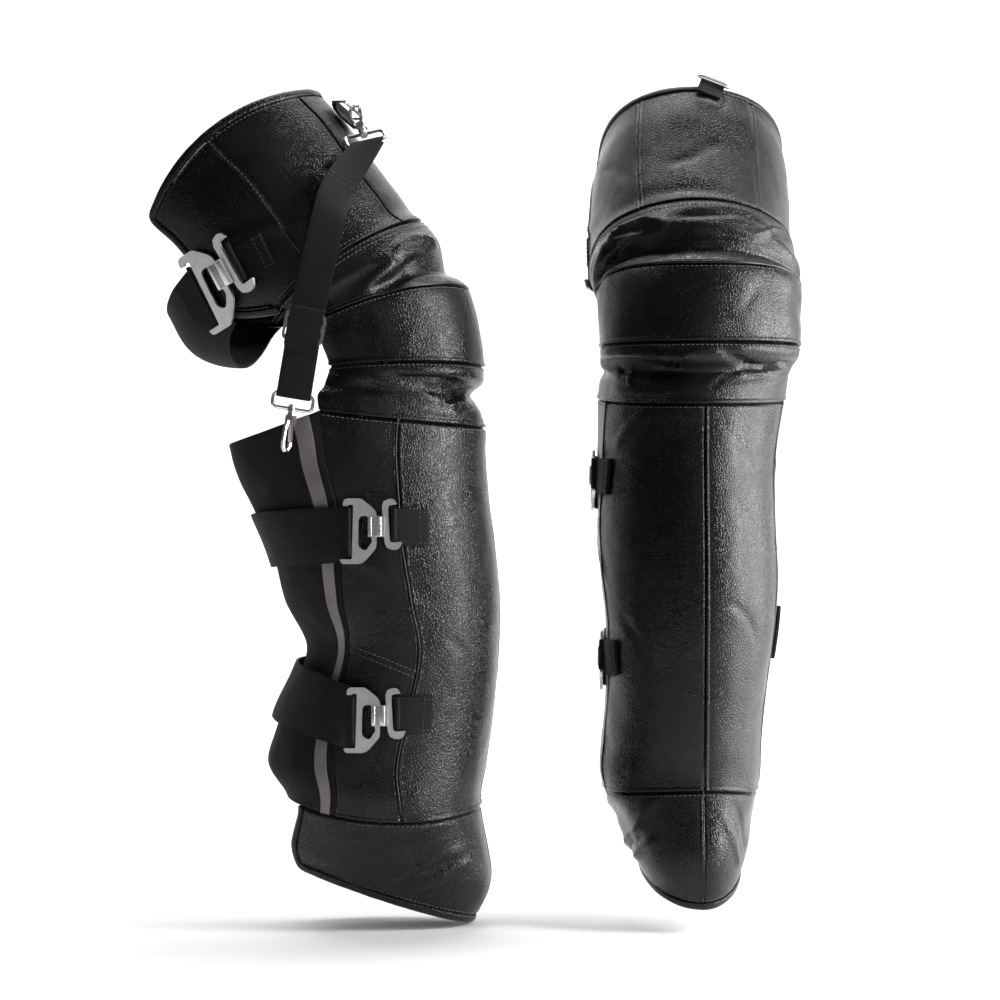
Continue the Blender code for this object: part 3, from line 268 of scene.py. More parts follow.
def unit(vectors):
    return vectors / np.linalg.norm(vectors, axis=-1, keepdims=True)


def spline(near, t):
    """Blend four neighbours into a smooth curve between the middle two."""
    before, start, end, after = near
    return 0.5 * (2 * start + (end - before) * t + (2 * before - 5 * start + 4 * end - after) * t ** 2
                  + (3 * start - before - 3 * end + after) * t ** 3)


def section_at(rows):
    rows = np.clip(rows, 0, len(COLUMNS) - 1.0)
    base = np.minimum(rows.astype(int), len(COLUMNS) - 2)
    near = (COLUMNS[np.clip(base + k, 0, len(COLUMNS) - 1)] for k in (-1, 0, 1, 2))
    return spline(near, (rows - base)[..., None])


def fold_height(rows, angles):
    height = np.zeros(np.broadcast(rows, angles).shape)
    for fold_row, fold_angle, rise, half_rows, half_degrees, slope in FOLDS:
        across = (angles - fold_angle + 180) % 360 - 180
        along = rows - fold_row - slope * np.radians(across)
        height += rise * np.exp(-(along / half_rows) ** 2 - (across / half_degrees) ** 2)
    return height * MM


def base_point(rows, angles):
    rows, angles = np.broadcast_arrays(np.asarray(rows, float), np.asarray(angles, float))
    section = section_at(rows)
    rear_x, rear_z, front_x, front_z, outer, inner = (section[..., k] for k in range(6))
    turn = np.radians(angles)
    width = np.where(np.sin(turn) > 0, outer, inner)
    still = np.zeros_like(turn)
    half = np.stack([(front_x - rear_x) / 2, still, (front_z - rear_z) / 2], -1)
    centre = np.stack([(front_x + rear_x) / 2, still, (front_z + rear_z) / 2], -1)
    spoke = np.cos(turn)[..., None] * half + np.stack([still, -width * np.sin(turn), still], -1)
    reach = np.linalg.norm(spoke, axis=-1, keepdims=True)
    return centre + spoke * (1 + fold_height(rows, angles)[..., None] / reach)


def per_step(rows, angles):
    """Return how far a place moves for one row and for one degree."""
    per_row = (base_point(rows + 0.05, angles) - base_point(rows - 0.05, angles)) / 0.1
    return per_row, (base_point(rows, angles + 1) - base_point(rows, angles - 1)) / 2


def surface_normal(rows, angles):
    rows, angles = np.broadcast_arrays(np.asarray(rows, float), np.asarray(angles, float))
    return unit(np.cross(*per_step(rows, angles)))


def steps_for(rows, angles, move):
    """Return the change of row and of angle that shifts places of the tube by vectors along it."""
    per_row, per_degree = per_step(rows, angles)
    a, b, c = (per_row ** 2).sum(-1), (per_row * per_degree).sum(-1), (per_degree ** 2).sum(-1)
    p, q = (move * per_row).sum(-1), (move * per_degree).sum(-1)
    return (c * p - b * q) / (a * c - b * b), (a * q - b * p) / (a * c - b * b)


def surface(rows, angles, lift):
    lift = np.asarray(lift, float)
    return base_point(rows, angles) + surface_normal(rows, angles) * lift[..., None]


def curve_through(points, steps):
    """Return a smooth line through points, with a number of steps between neighbours."""
    points = np.asarray(points, float)
    t = np.linspace(0, 1, steps, endpoint=False)[:, None]
    lines = []
    for index in range(len(points) - 1):
        near = [points[min(max(index + k, 0), len(points) - 1)] for k in (-1, 0, 1, 2)]
        lines.append(spline(near, t))
    return np.concatenate([*lines, points[-1:]])


def crease_lift(creases, points):
    """Return how far some creases raise points of the tube, in metres."""
    flat = points.reshape(-1, 3)
    lift = np.zeros(len(flat))
    for height, reach, route in creases:
        line = base_point(*curve_through(route, 24).T)
        margin = 3 * reach * MM
        near = ((flat > line.min(0) - margin) & (flat < line.max(0) + margin)).all(1)
        if not near.any():
            continue
        distance = np.linalg.norm(flat[near][:, None] - line[None], axis=-1)
        closest = distance.argmin(1)
        share = closest / (len(line) - 1)
        fade = np.clip(np.minimum(share, 1 - share) / HALF_CREASE_END, 0, 1)
        lift[near] += height * np.exp(-(distance.min(1) / (reach * MM)) ** 2) * (0.15 + 0.85 * fade)
    return lift.reshape(points.shape[:-1]) * MM


def seam(name):
    return lambda angle: ROW[name] + BOW[name] * np.sin(np.radians(angle)) ** 2


def edge_angle(row):
    return section_at(np.asarray(row, float))[..., 6]


def side_seam_angle(row):
    share = np.clip((row - ROW["calf"]) / (ROW["shin seam"] - ROW["calf"]), 0, 1)
    return SIDE_SEAM_LOW + (SIDE_SEAM_TOP - SIDE_SEAM_LOW) * share


def row_at_height(height):
    rows = np.arange(ROW["foot seam"], ROW["shin seam"] + 1)
    heights = [(COLUMNS[row, 1] + COLUMNS[row, 3]) / 2 for row in rows]
    return np.interp(height, heights, rows)


# Meshes

def finish_mesh(name, mesh, sharp):
    """Shade a mesh smooth but for edges above some degrees, and make its object."""
    mesh.shade_smooth()
    mesh.set_sharp_from_angle(angle=math.radians(sharp))
    return add_object(name, mesh)


def add_object(name, data):
    made = bpy.data.objects.new(name, data)
    bpy.context.collection.objects.link(made)
    return made


def make_mesh(name, points, faces, uv=None, sharp=50, recalc=False):
    mesh = bpy.data.meshes.new(name)
    mesh.from_pydata([tuple(p) for p in points], [], faces)
    if uv is not None:
        layer = mesh.uv_layers.new(name="flat")
        corner = np.zeros(len(mesh.loops), dtype=np.int32)
        mesh.loops.foreach_get("vertex_index", corner)
        layer.data.foreach_set("uv", np.asarray(uv, np.float32)[corner].ravel())
    if recalc:
        work = bmesh.new()
        work.from_mesh(mesh)
        bmesh.ops.recalc_face_normals(work, faces=work.faces)
        work.to_mesh(mesh)
        work.free()
    return finish_mesh(name, mesh, sharp)


def grid_faces(rows, columns, start=0, flip=False, closed=False):
    j, i = np.meshgrid(np.arange(rows - 1), np.arange(columns if closed else columns - 1), indexing="ij")
    down, on = j + 1, (i + 1) % columns
    quad = np.stack([j * columns + i, down * columns + i, down * columns + on, j * columns + on], -1)
    quad = quad.reshape(-1, 4) + start
    return (quad[:, ::-1] if flip else quad).tolist()


def closed_faces(rings, sides):
    """Return the faces of a row of rings with its two ends closed."""
    ends = [list(range(sides)), list(range(rings * sides - 1, (rings - 1) * sides - 1, -1))]
    return grid_faces(rings, sides, closed=True) + ends


def arc_lengths(points, axis):
    steps = np.linalg.norm(np.diff(points, axis=axis), axis=-1)
    start = np.zeros_like(np.take(steps, [0], axis=axis))
    return np.cumsum(np.concatenate([start, steps], axis=axis), axis=axis)


def shell(name, outer, inner, look):
    """Close two grids of points into a thin sheet, with its lengths as UVs."""
    rows, columns = outer.shape[:2]
    count = rows * columns
    across, along = arc_lengths(outer, 1), arc_lengths(outer, 0)
    uv = np.stack([across - across[:, [columns // 2]], along], -1).reshape(-1, 2)
    faces = grid_faces(rows, columns) + grid_faces(rows, columns, count, flip=True)
    rim = [j * columns for j in range(rows)]
    rim += [(rows - 1) * columns + i for i in range(1, columns)]
    rim += [j * columns + columns - 1 for j in range(rows - 2, -1, -1)]
    rim += list(range(columns - 2, 0, -1))
    for a, b in zip(rim, rim[1:] + rim[:1]):
        faces.append((b, a, a + count, b + count))
    points = np.concatenate([outer.reshape(-1, 3), inner.reshape(-1, 3)])
    return dress(make_mesh(name, points, faces, np.concatenate([uv, uv])), look)


def dress(made, look):
    made.data.materials.clear()
    made.data.materials.append(look)
    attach(made, "root")
    return made


def tube(name, line, radius, look, sides, normals):
    """Sweep a round section along a line of points."""
    line, normals = np.asarray(line, float), np.asarray(normals, float)
    count = len(line)
    along = unit(np.gradient(line, axis=0))
    normals = unit(normals - along * (normals * along).sum(1, keepdims=True))
    sideways = np.cross(along, normals)
    radius = np.broadcast_to(np.asarray(radius, float), (count,))[:, None, None]
    turn = np.linspace(0, 2 * math.pi, sides, endpoint=False)[None, :, None]
    points = line[:, None] + (np.cos(turn) * sideways[:, None] + np.sin(turn) * normals[:, None]) * radius
    length = arc_lengths(line[:, None], 0)
    uv = np.stack(np.broadcast_arrays(np.linspace(0, 1, sides)[None] * 6 * radius[:, 0], length), -1)
    made = make_mesh(name, points.reshape(-1, 3), closed_faces(count, sides), uv.reshape(-1, 2), recalc=True)
    return dress(made, look)


# Each warmer's place in the scene

class Warmer:
    def __init__(self, tag, x, z, turn, rise, loop_at, strapped):
        self.tag, self.rise, self.loop_at, self.strapped = tag, rise, loop_at, strapped
        self.matrix = Matrix.Translation((x, 0, z)) @ Matrix.Rotation(math.radians(turn), 4, "Z")
        self.turn = np.array(self.matrix.to_3x3())
        self.move = np.array(self.matrix.translation)
        self.skins, self.straps = [], []
        self.bindings, self.tab_grids, self.cloth = {}, [], {}
        own, other = (SIDE_CREASES, FRONT_CREASES) if strapped else (FRONT_CREASES, SIDE_CREASES)
        far = [crease for crease in other if abs(np.mean([place[1] for place in crease[2]])) > 30]
        if strapped:
            far = [crease for crease in far if max(place[1] for place in crease[2]) < 0]
        self.creases = [*own, *far]

    def world(self, points):
        return np.asarray(points) @ self.turn.T + self.move

    def spin(self, vectors):
        return np.asarray(vectors) @ self.turn.T

    def sew(self, name, ending, outer, inner, look, slot):
        """Close two grids into the sheet that stands for a solid."""
        made = shell(f"{self.tag}_{name}_{ending}", self.world(outer), self.world(inner), look)
        self.stands_for(name, made, outer)
        return made

    def stands_for(self, name, made, grid, held="stretched", rests_on=()):
        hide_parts(f"{self.tag}_{name}")
        self.cloth[name] = (made, grid, held, rests_on, [])

    def sew_on(self, name, made):
        """Count a small piece as part of a sheet."""
        self.cloth[name][-1].append(made)

    def weld_skins(self):
        """Make one tree of the panels' faces, to seat stitches and trims on."""
        points, faces = [], []
        for made in self.skins:
            base = len(points)
            points += [v.co.copy() for v in made.data.vertices]
            faces += [[base + k for k in p.vertices] for p in made.data.polygons]
        self.tree = BVHTree.FromPolygons(points, faces)

    def seat(self, points, normals, lift):
        """Drop world points onto the panels along their normals, then lift them."""
        seated = []
        for point, normal in zip(points, normals):
            normal = Vector(normal)
            start = Vector(point) + normal * 0.006
            hit, _, _, _ = self.tree.ray_cast(start, -normal, 0.012)
            seated.append(np.array((hit if hit is not None else Vector(point)) + normal * lift))
        return np.array(seated)


# Sewn panels

# How the leather rises near an edge, as a sum of bumps: height, distance from the edge and half-width in
# millimetres
PROFILES = {
    "seam": ((-1.7, 0, 0.9), (0.55, 2.0, 1.2), (-0.40, 3.6, 0.7)),
    "plain": ((-1.2, 0, 0.9),),
    "over": ((1.1, 0, 4.0), (-0.6, 0, 0.5), (-0.45, 3.6, 0.7)),
    "under": ((-2.6, 0, 2.2),),
    "piped": ((-1.2, 0, 1.1), (0.3, 2.6, 1.2)),
    "bound": ((-0.5, 0, 1.5), (-0.35, 1.6, 0.7)),
    "open": ((-0.6, 0, 0.8),),
}
# The places of the points next to an edge
NEAR_EDGE = np.array([0, 0.5, 1.0, 1.6, 2.2, 2.9, 3.6, 4.4, 5.6]) * MM
# The points round a raised seam: how many on each side, how far apart
KNOT_POINTS = 5
KNOT_STEP = 0.7 * MM


def edge_lift(profile, distance):
    """Return how far an edge's profile raises the leather at a distance from it, in metres."""
    away = distance / MM
    return sum(height * np.exp(-((away - at) / reach) ** 2) for height, at, reach in PROFILES[profile]) * MM


def spread(length, knots=()):
    """Return shares from 0 to 1: close together at both ends and at the knots, SPACING apart between."""
    close = NEAR_EDGE[-1]
    if length < 3 * close:
        return np.linspace(0, 1, max(8, int(length / (0.6 * MM))))
    room = length - 2 * close
    count = max(2, int(round(room / SPACING)))
    between = close + room * np.arange(1, count) / count
    places = np.concatenate([NEAR_EDGE, between, length - NEAR_EDGE[::-1]])
    for knot in knots:
        near = knot * length + np.arange(-KNOT_POINTS, KNOT_POINTS + 1) * KNOT_STEP
        room = (KNOT_POINTS + 1) * KNOT_STEP
        places = np.concatenate([places[abs(places - knot * length) > room], near])
    return np.sort(places) / length


def panel_grid(low, high, start, end, ups, shares, drop=None):
    """Return the rows and angles of a panel between two seams and two edges, as the solids have it."""
    up, across = np.asarray(ups)[:, None], np.asarray(shares)[None]
    first, last = np.round(low(0.0)), np.round(high(0.0))
    middle_row = first + (last - first) * up
    angles = start(middle_row) + (end(middle_row) - start(middle_row)) * across
    top = high(angles) - (drop(across) if drop else 0)
    return low(angles) + (top - low(angles)) * up, angles


def always(value):
    return lambda _: value


def fitted_grid(low, high, start, end, drop=None, knots=()):
    """Return a panel's grid of places, as fine as its real size asks."""
    even = np.linspace(0, 1, 9)
    points = base_point(*panel_grid(low, high, start, end, even, even, drop))
    width = arc_lengths(points, 1)[:, -1].max()
    length = arc_lengths(points, 0)[-1].max()
    return panel_grid(low, high, start, end, spread(length), spread(width, knots), drop)


def leather_noise(points):
    """Return the slack of the leather: a soft wave with finer ones on it, in metres."""
    slack = [0.75 * noise.noise(Vector(p) * 24) + 0.34 * noise.noise(Vector(p) * 61 + Vector((5, 1, 3)))
             for p in points.reshape(-1, 3)]
    return np.reshape(slack, points.shape[:-1]) * MM


def inset(grid):
    """Draw a panel's four edges in by half the seam's gap."""
    grid = np.array(grid)
    for turned in (grid, grid.transpose(1, 0, 2)):
        for line, neighbour in ((0, 1), (-1, -2)):
            turned[line] += HALF_SEAM * unit(turned[neighbour] - turned[line])
    return grid


def panel(warmer, name, places, looks, edges, slot="leather", wall=LEATHER_WALL, extra=None, slack=1.0,
          creased=True):
    """Sew one panel: its low, high, start and end edges each have a profile."""
    rows, angles = places
    here, normals = base_point(rows, angles), surface_normal(rows, angles)
    along, across = arc_lengths(here, 0), arc_lengths(here, 1)
    lift = leather_noise(warmer.world(here)) * slack
    if creased:
        lift = lift + crease_lift(warmer.creases, here)
    for profile, distance in zip(edges, (along, along[-1:] - along, across, across[:, -1:] - across)):
        lift = lift + edge_lift(profile, distance)
    if extra is not None:
        lift = lift + extra(rows, angles)
    outer = inset(here + normals * lift[..., None])
    inner = outer - normals * wall
    if edges[1] == "under":
        outer, inner = tucked(outer, normals), tucked(inner, normals)
    warmer.skins.append(warmer.sew(name, "skin", outer, inner, looks[slot], slot))


def tucked(grid, normals):
    """Run a panel's upper edge on under the panel that laps over it."""
    onward = unit(grid[-1:] - grid[-2:-1])
    return np.concatenate([grid, grid[-1:] + onward * LAP - normals[-1:] * LAP_SINK])


def degrees_wide(row, angle):
    """Return how many metres one degree is at a place of the tube."""
    return np.linalg.norm(base_point(row, angle + 0.5) - base_point(row, angle - 0.5), axis=-1)


def beside(rows, angles, distance):
    """Move a line of places sideways over the surface by a distance, to the left of its direction."""
    side = unit(np.cross(surface_normal(rows, angles), np.gradient(base_point(rows, angles), axis=0)))
    more_rows, more_degrees = steps_for(rows, angles, side * distance)
    return rows + more_rows, angles + more_degrees


def even_line(points, pitch, *others):
    """Read a line of points at an even pitch, with the lists that go with it."""
    length = arc_lengths(points[:, None], 0)[:, 0]
    count = max(2, int(round(length[-1] / pitch)) + 1)
    at = np.linspace(0, length[-1], count)
    lines = [np.asarray(line, float) for line in (points, *others)]
    return [np.interp(at, length, line) if line.ndim == 1
            else np.stack([np.interp(at, length, column) for column in line.T], -1) for line in lines]


LAP = 2.6 * MM
LAP_SINK = 0.7 * MM
STITCH_PITCH = 4.0 * MM
STITCH_LENGTH = 3.2 * MM
STITCH_RADIUS = 0.42 * MM
STITCH_SIDES = 5
STITCH_LIFT = 0.12 * MM
STITCH_INSET = 3.6 * MM
STITCH_ROW_GAP = 4.4 * MM
BINDING_INSET = 5.4 * MM
# A stitch's rings: place along its length, size and depth in radii
STITCH_PROFILE = ((-0.5, 0.35, -1.1), (-0.34, 1.0, 0.0), (0.34, 1.0, 0.0), (0.5, 0.35, -1.1))


def stitch_line(warmer, rows, angles, off, lift):
    """Return the stitches' centres and normals along a line of places, seated on the skins."""
    if off:
        rows, angles = beside(np.asarray(rows, float), np.asarray(angles, float), off)
    points = warmer.world(base_point(rows, angles))
    normals = warmer.spin(surface_normal(rows, angles))
    points, normals = even_line(points, STITCH_PITCH, normals)
    return warmer.seat(points, normals, lift), normals


def stitches(name, lines, look, length=STITCH_LENGTH):
    """Make every stitch of some lines: a short round thread with its ends pulled into the cloth."""
    points, faces = [], []
    turns = [2 * math.pi * k / STITCH_SIDES for k in range(STITCH_SIDES)]
    ring_faces = closed_faces(len(STITCH_PROFILE), STITCH_SIDES)
    for centres, normals in lines:
        for centre, direction, normal in zip(centres, unit(np.gradient(centres, axis=0)), normals):
            side = unit(np.cross(direction, normal))
            up = np.cross(side, direction)
            faces += [[len(points) + corner for corner in face] for face in ring_faces]
            for step, size, sink in STITCH_PROFILE:
                for turn in turns:
                    spoke = side * math.cos(turn) * size + up * (math.sin(turn) * size + sink)
                    points.append(centre + direction * step * length + spoke * STITCH_RADIUS)
    return dress(make_mesh(name, points, faces, sharp=80), look)


# The leather panels and the calf wrap

UPRIGHT_POINTS = 40
ROUND_POINTS = 260
TAPE_GRID = (150, 9)
THIGH_DART = 88
THIGH_DART_FOOT = 19.0
CALF_SEAM_ROW = 5.7
CALF_SEAM_CLIMB = 0.0098


def dart_welt(rows, angles):
    """A raised seam on the outer thigh, from the top edge part of the way down."""
    metres = (angles - THIGH_DART) * degrees_wide(rows, angles) / MM
    fade = 1 / (1 + np.exp(-(rows - THIGH_DART_FOOT) / 0.06))
    return fade * MM * (1.1 * np.exp(-(metres / 1.5) ** 2) - 0.5 * np.exp(-((abs(metres) - 3.2) / 1.1) ** 2))


def thigh(warmer, looks):
    bottom, top = seam("thigh seam"), seam("top edge")

    def panel_top(angle):
        return top(angle) - BINDING_ROWS

    def rear(row):
        return edge_angle(row) - BINDING_DEGREES

    outer_share = (THIGH_DART - THIGH_SEAM_OUTER) / (THIGH_EDGE - BINDING_DEGREES - THIGH_SEAM_OUTER)
    spans = (
        ("thigh_front", always(THIGH_SEAM_INNER), always(THIGH_SEAM_OUTER), "seam", "seam", (), None),
        ("thigh_outer", always(THIGH_SEAM_OUTER), rear, "plain", "bound", (outer_share,), dart_welt),
        ("thigh_inner", lambda row: -rear(row), always(THIGH_SEAM_INNER), "bound", "plain", (), None),
    )
    for name, start, end, start_edge, end_edge, knots, extra in spans:
        places = fitted_grid(bottom, panel_top, start, end, knots=knots)
        panel(warmer, name, places, looks, ("over", "bound", start_edge, end_edge), extra=extra)
    rear_angle = edge_angle(20.0) - BINDING_DEGREES / 2
    climb = np.linspace(bottom(rear_angle) + 0.03, top(rear_angle) - BINDING_ROWS / 2, UPRIGHT_POINTS)
    round_top = np.linspace(-rear_angle, rear_angle, ROUND_POINTS)
    rows = np.concatenate([climb, top(round_top)[1:-1] - BINDING_ROWS / 2, climb[::-1]])
    leading = edge_angle(climb) - BINDING_DEGREES / 2
    angles = np.concatenate([-leading, round_top[1:-1], leading[::-1]])
    binding(warmer, "thigh_binding", rows, angles, 1, looks)


BINDING_TURN = 142
BINDING_HALF_WIDTH = 4.1 * MM
BINDING_FLATNESS = 0.66
BINDING_CLOTH = 1.1 * MM
BINDING_SINK = -1.3 * MM
BINDING_PITCH = 2.2 * MM
BINDING_SIDES = 17


def binding(warmer, name, rows, angles, outward, looks):
    """Fold a leather strip round an edge; outward says which way along the rows the edge is free."""
    points = surface(rows, angles, np.full(len(rows), BINDING_SINK))
    normals = surface_normal(rows, angles)
    points, normals, rows, angles = even_line(points, BINDING_PITCH, normals, rows, angles)
    for _ in range(3):
        points[1:-1] = (points[:-2] + 2 * points[1:-1] + points[2:]) / 4
    along = np.gradient(points, axis=0)
    free = unit(np.cross(along, normals))
    middle = len(rows) // 2
    row, angle = rows[middle], angles[middle]
    free *= np.sign(free[middle] @ (base_point(row + outward * 0.05, angle) - base_point(row, angle)))
    up = unit(np.cross(free, along))
    up *= np.sign((up * normals).sum(-1, keepdims=True))
    wave = 1 + 0.06 * np.array([[noise.noise(Vector(p) * 90)] for p in points])
    hand = np.sign(np.cross(along[middle], up[middle]) @ free[middle])
    turn = np.radians(np.linspace(-BINDING_TURN, BINDING_TURN, BINDING_SIDES) * hand)[None, :, None]
    layers = []
    for half in (BINDING_HALF_WIDTH, BINDING_HALF_WIDTH - BINDING_CLOTH):
        thick = BINDING_HALF_WIDTH * BINDING_FLATNESS - (BINDING_HALF_WIDTH - half)
        ring = np.cos(turn) * free[:, None] * half + np.sin(turn) * up[:, None] * thick
        layers.append(points[:, None] + ring * wave[:, None])
    warmer.skins.append(warmer.sew(name, "roll", *layers, looks["leather"], "leather"))
    warmer.bindings[name] = (rows, angles, outward)


def knee(warmer, looks):
    bands = (
        ("knee_lower", "shin seam", "cap seam", "over", "under"),
        ("knee_cap", "cap seam", "band seam", "over", "under"),
        ("knee_upper", "band seam", "thigh seam", "piped", "under"),
    )
    for name, low, high, low_edge, high_edge in bands:
        places = fitted_grid(seam(low), seam(high), lambda row: -edge_angle(row), edge_angle)
        panel(warmer, name, places, looks, (low_edge, high_edge, "open", "open"), slack=1.3)


def wrap_drop(across):
    return WRAP_DROP * np.sin(math.pi * np.clip(across, 0, 1)) ** 0.8


def lower_leg(warmer, looks):
    low, high = seam("foot seam"), seam("shin seam")

    def other_edge(row):
        return 360 - edge_angle(row)

    spans = (
        ("shin_outer", always(0), side_seam_angle, "plain", "piped"),
        ("shin_inner", lambda row: -side_seam_angle(row), always(0), "piped", "seam"),
        ("calf_outer", side_seam_angle, edge_angle, "piped", "open"),
        ("calf_inner", lambda row: -edge_angle(row), lambda row: -side_seam_angle(row), "open", "piped"),
    )
    for name, start, end, start_edge, end_edge in spans:
        places = fitted_grid(low, high, start, end)
        panel(warmer, name, places, looks, ("over", "under", start_edge, end_edge))
    places = fitted_grid(low, high, edge_angle, other_edge, wrap_drop)
    panel(warmer, "calf_wrap", places, looks, ("plain", "open", "plain", "plain"), "wrap_fabric", WRAP_WALL,
          slack=1.6, creased=False)
    warmer.weld_skins()

    # The tape lies on the wrap, beside the leather's rear edge.
    ups, shares = np.linspace(0, 1, TAPE_GRID[0]), np.linspace(*TAPE_ENDS, TAPE_GRID[1])
    rows, angles = panel_grid(low, high, edge_angle, other_edge, ups, shares, wrap_drop)
    normals = warmer.spin(surface_normal(rows, angles))
    places = warmer.world(base_point(rows, angles)).reshape(-1, 3)
    on_wrap = warmer.seat(places, normals.reshape(-1, 3), 0.0).reshape(normals.shape)
    inner = on_wrap + normals * TAPE_GAP
    outer = inner + normals * TAPE_WALL
    made = shell(f"{warmer.tag}_tape", outer, inner, looks["tape"])
    warmer.stands_for("reflective_tape", made, outer, rests_on=[f"{warmer.tag}_calf_wrap_skin"])


def foot(warmer, looks):
    hem = seam("hem")

    def panel_low(angle):
        return hem(angle) + BINDING_ROWS

    spans = (
        ("foot_inner", always(BINDING_DEGREES - FOOT_EDGE), always(0), "bound", "plain"),
        ("foot_outer", always(0), always(FOOT_EDGE - BINDING_DEGREES), "seam", "bound"),
    )
    for name, start, end, start_edge, end_edge in spans:
        places = fitted_grid(panel_low, seam("foot seam"), start, end)
        panel(warmer, name, places, looks, ("bound", "under", start_edge, end_edge))
    rear_angle = FOOT_EDGE - BINDING_DEGREES / 2
    lowest = BINDING_ROWS / 2 + hem(rear_angle)
    drop = np.linspace(seam("foot seam")(rear_angle) - 0.03, lowest, UPRIGHT_POINTS)
    round_hem = np.linspace(-rear_angle, rear_angle, ROUND_POINTS)
    rows = np.concatenate([drop, hem(round_hem)[1:-1] + BINDING_ROWS / 2, drop[::-1]])
    still = np.full(len(drop), rear_angle)
    angles = np.concatenate([-still, round_hem[1:-1], still])
    binding(warmer, "foot_binding", rows, angles, -1, looks)


# Straps

def plate_matrix(row, angle, lift, turn):
    """Return the frame of a flat piece tangent to the tube: x towards the front, y up, z outward."""
    normal = Vector(surface_normal(row, angle))
    forward = Vector(base_point(row, angle - 1) - base_point(row, angle + 1))
    forward = (forward - normal * forward.dot(normal)).normalized()
    upward = normal.cross(forward)
    axes = Matrix((forward, upward, normal)).transposed().to_4x4()
    origin = Matrix.Translation(Vector(surface(row, angle, lift)))
    return origin @ axes @ Matrix.Rotation(math.radians(turn), 4, "Z")


def distance_to_plate(matrix, rows, angles):
    face = np.array(matrix.to_3x3() @ Vector((0, 0, 1)))
    to_plate = np.array(matrix.translation) - base_point(rows, angles)
    return (to_plate @ face) / (surface_normal(rows, angles) @ face)


def nearest_places(targets, row, angle):
    """Find the rows and angles whose normals pass through points close to the tube."""
    rows, angles = np.full(len(targets), float(row)), np.full(len(targets), float(angle))
    for _ in range(8):
        more_rows, more_degrees = steps_for(rows, angles, targets - base_point(rows, angles))
        rows += np.clip(more_rows, -0.5, 0.5)
        angles += np.clip(more_degrees, -10, 10)
    return rows, angles


def smooth_line(values, reach):
    """Average each value with its neighbours, twice, keeping both ends."""
    kernel = np.ones(2 * reach + 1) / (2 * reach + 1)
    for _ in range(2):
        padded = np.concatenate([2 * values[0] - values[reach:0:-1], values,
                                 2 * values[-1] - values[-2:-reach - 2:-1]])
        values = np.convolve(padded, kernel, "valid")
    return values


def along_route(route, angles, column, scale=1.0):
    """Read one column of a strap's route at some angles, rounded at its stations."""
    stations, values = ([station[k] for station in route] for k in (0, column))
    return smooth_line(np.interp(angles, stations, values), 6) * scale


ELASTIC_RIPPLE = 0.45 * MM
ELASTIC_EDGE_DROP = 0.5 * MM
LOWER_ELASTIC_GRID = (22, 110)
THIGH_ELASTIC_GRID = (24, 120)


def elastic(warmer, name, rows, angles, lift, looks):
    """Make one elastic from a grid of places, with a slight ripple."""
    here, normals = base_point(rows, angles), surface_normal(rows, angles)
    across = np.linspace(-1, 1, len(rows))[:, None]
    ripple = np.array([[noise.noise(Vector(p) * 55) for p in line] for line in here])
    lift = lift + ELASTIC_RIPPLE * ripple - ELASTIC_EDGE_DROP * across ** 8
    outer = here + normals * lift[..., None]
    inner = outer - normals * ELASTIC_WALL
    warmer.straps.append(warmer.sew(name, "band", outer, inner, looks["elastic"], "elastic"))


def lower_elastic(warmer, name, route, rest_lift, place, looks):
    angles = np.linspace(route[0][0], route[-1][0], LOWER_ELASTIC_GRID[1])
    heights = along_route(route, angles, 1, MM) + warmer.rise
    across = np.linspace(-0.5, 0.5, LOWER_ELASTIC_GRID[0])[:, None]
    rows = row_at_height(heights[None] + across * ELASTIC_WIDTH)
    angles = np.broadcast_to(angles[None], rows.shape)
    to_bar = np.clip(1 - (angles - route[0][0]) / ELASTIC_ON_BAR, 0, 1)
    lift = rest_lift + ELASTIC_WALL
    lift = lift + to_bar * (distance_to_plate(place, rows, angles) - CLEAR - lift)
    elastic(warmer, name, rows, angles, lift, looks)


def thigh_elastic(warmer, place, looks):
    angles = np.linspace(THIGH_ROUTE[0][0], THIGH_ROUTE[-1][0], THIGH_ELASTIC_GRID[1])
    middle = along_route(THIGH_ROUTE, angles, 1)
    lift = along_route(THIGH_ROUTE, angles, 2, MM)
    across = np.linspace(-1, 1, THIGH_ELASTIC_GRID[0])[:, None]
    rows = middle[None] + across * THIGH_ELASTIC_HALF_ROWS
    angles = np.broadcast_to(angles[None], rows.shape)
    lift = np.broadcast_to(lift[None] + ELASTIC_WALL, rows.shape)
    under = np.clip((THIGH_ELASTIC_CLEAR_OF_BAR - angles) / 4, 0, 1)
    lift = lift + under * (np.minimum(lift, distance_to_plate(place, rows, angles) - CLEAR) - lift)
    elastic(warmer, "thigh_elastic", rows, angles, lift, looks)


TAB_GRID = (26, 14)
TAB_UNDER_SHAFT = 2 * MM
TAB_SINK = 0.4 * MM
TAB_END_DROP = 0.5 * MM


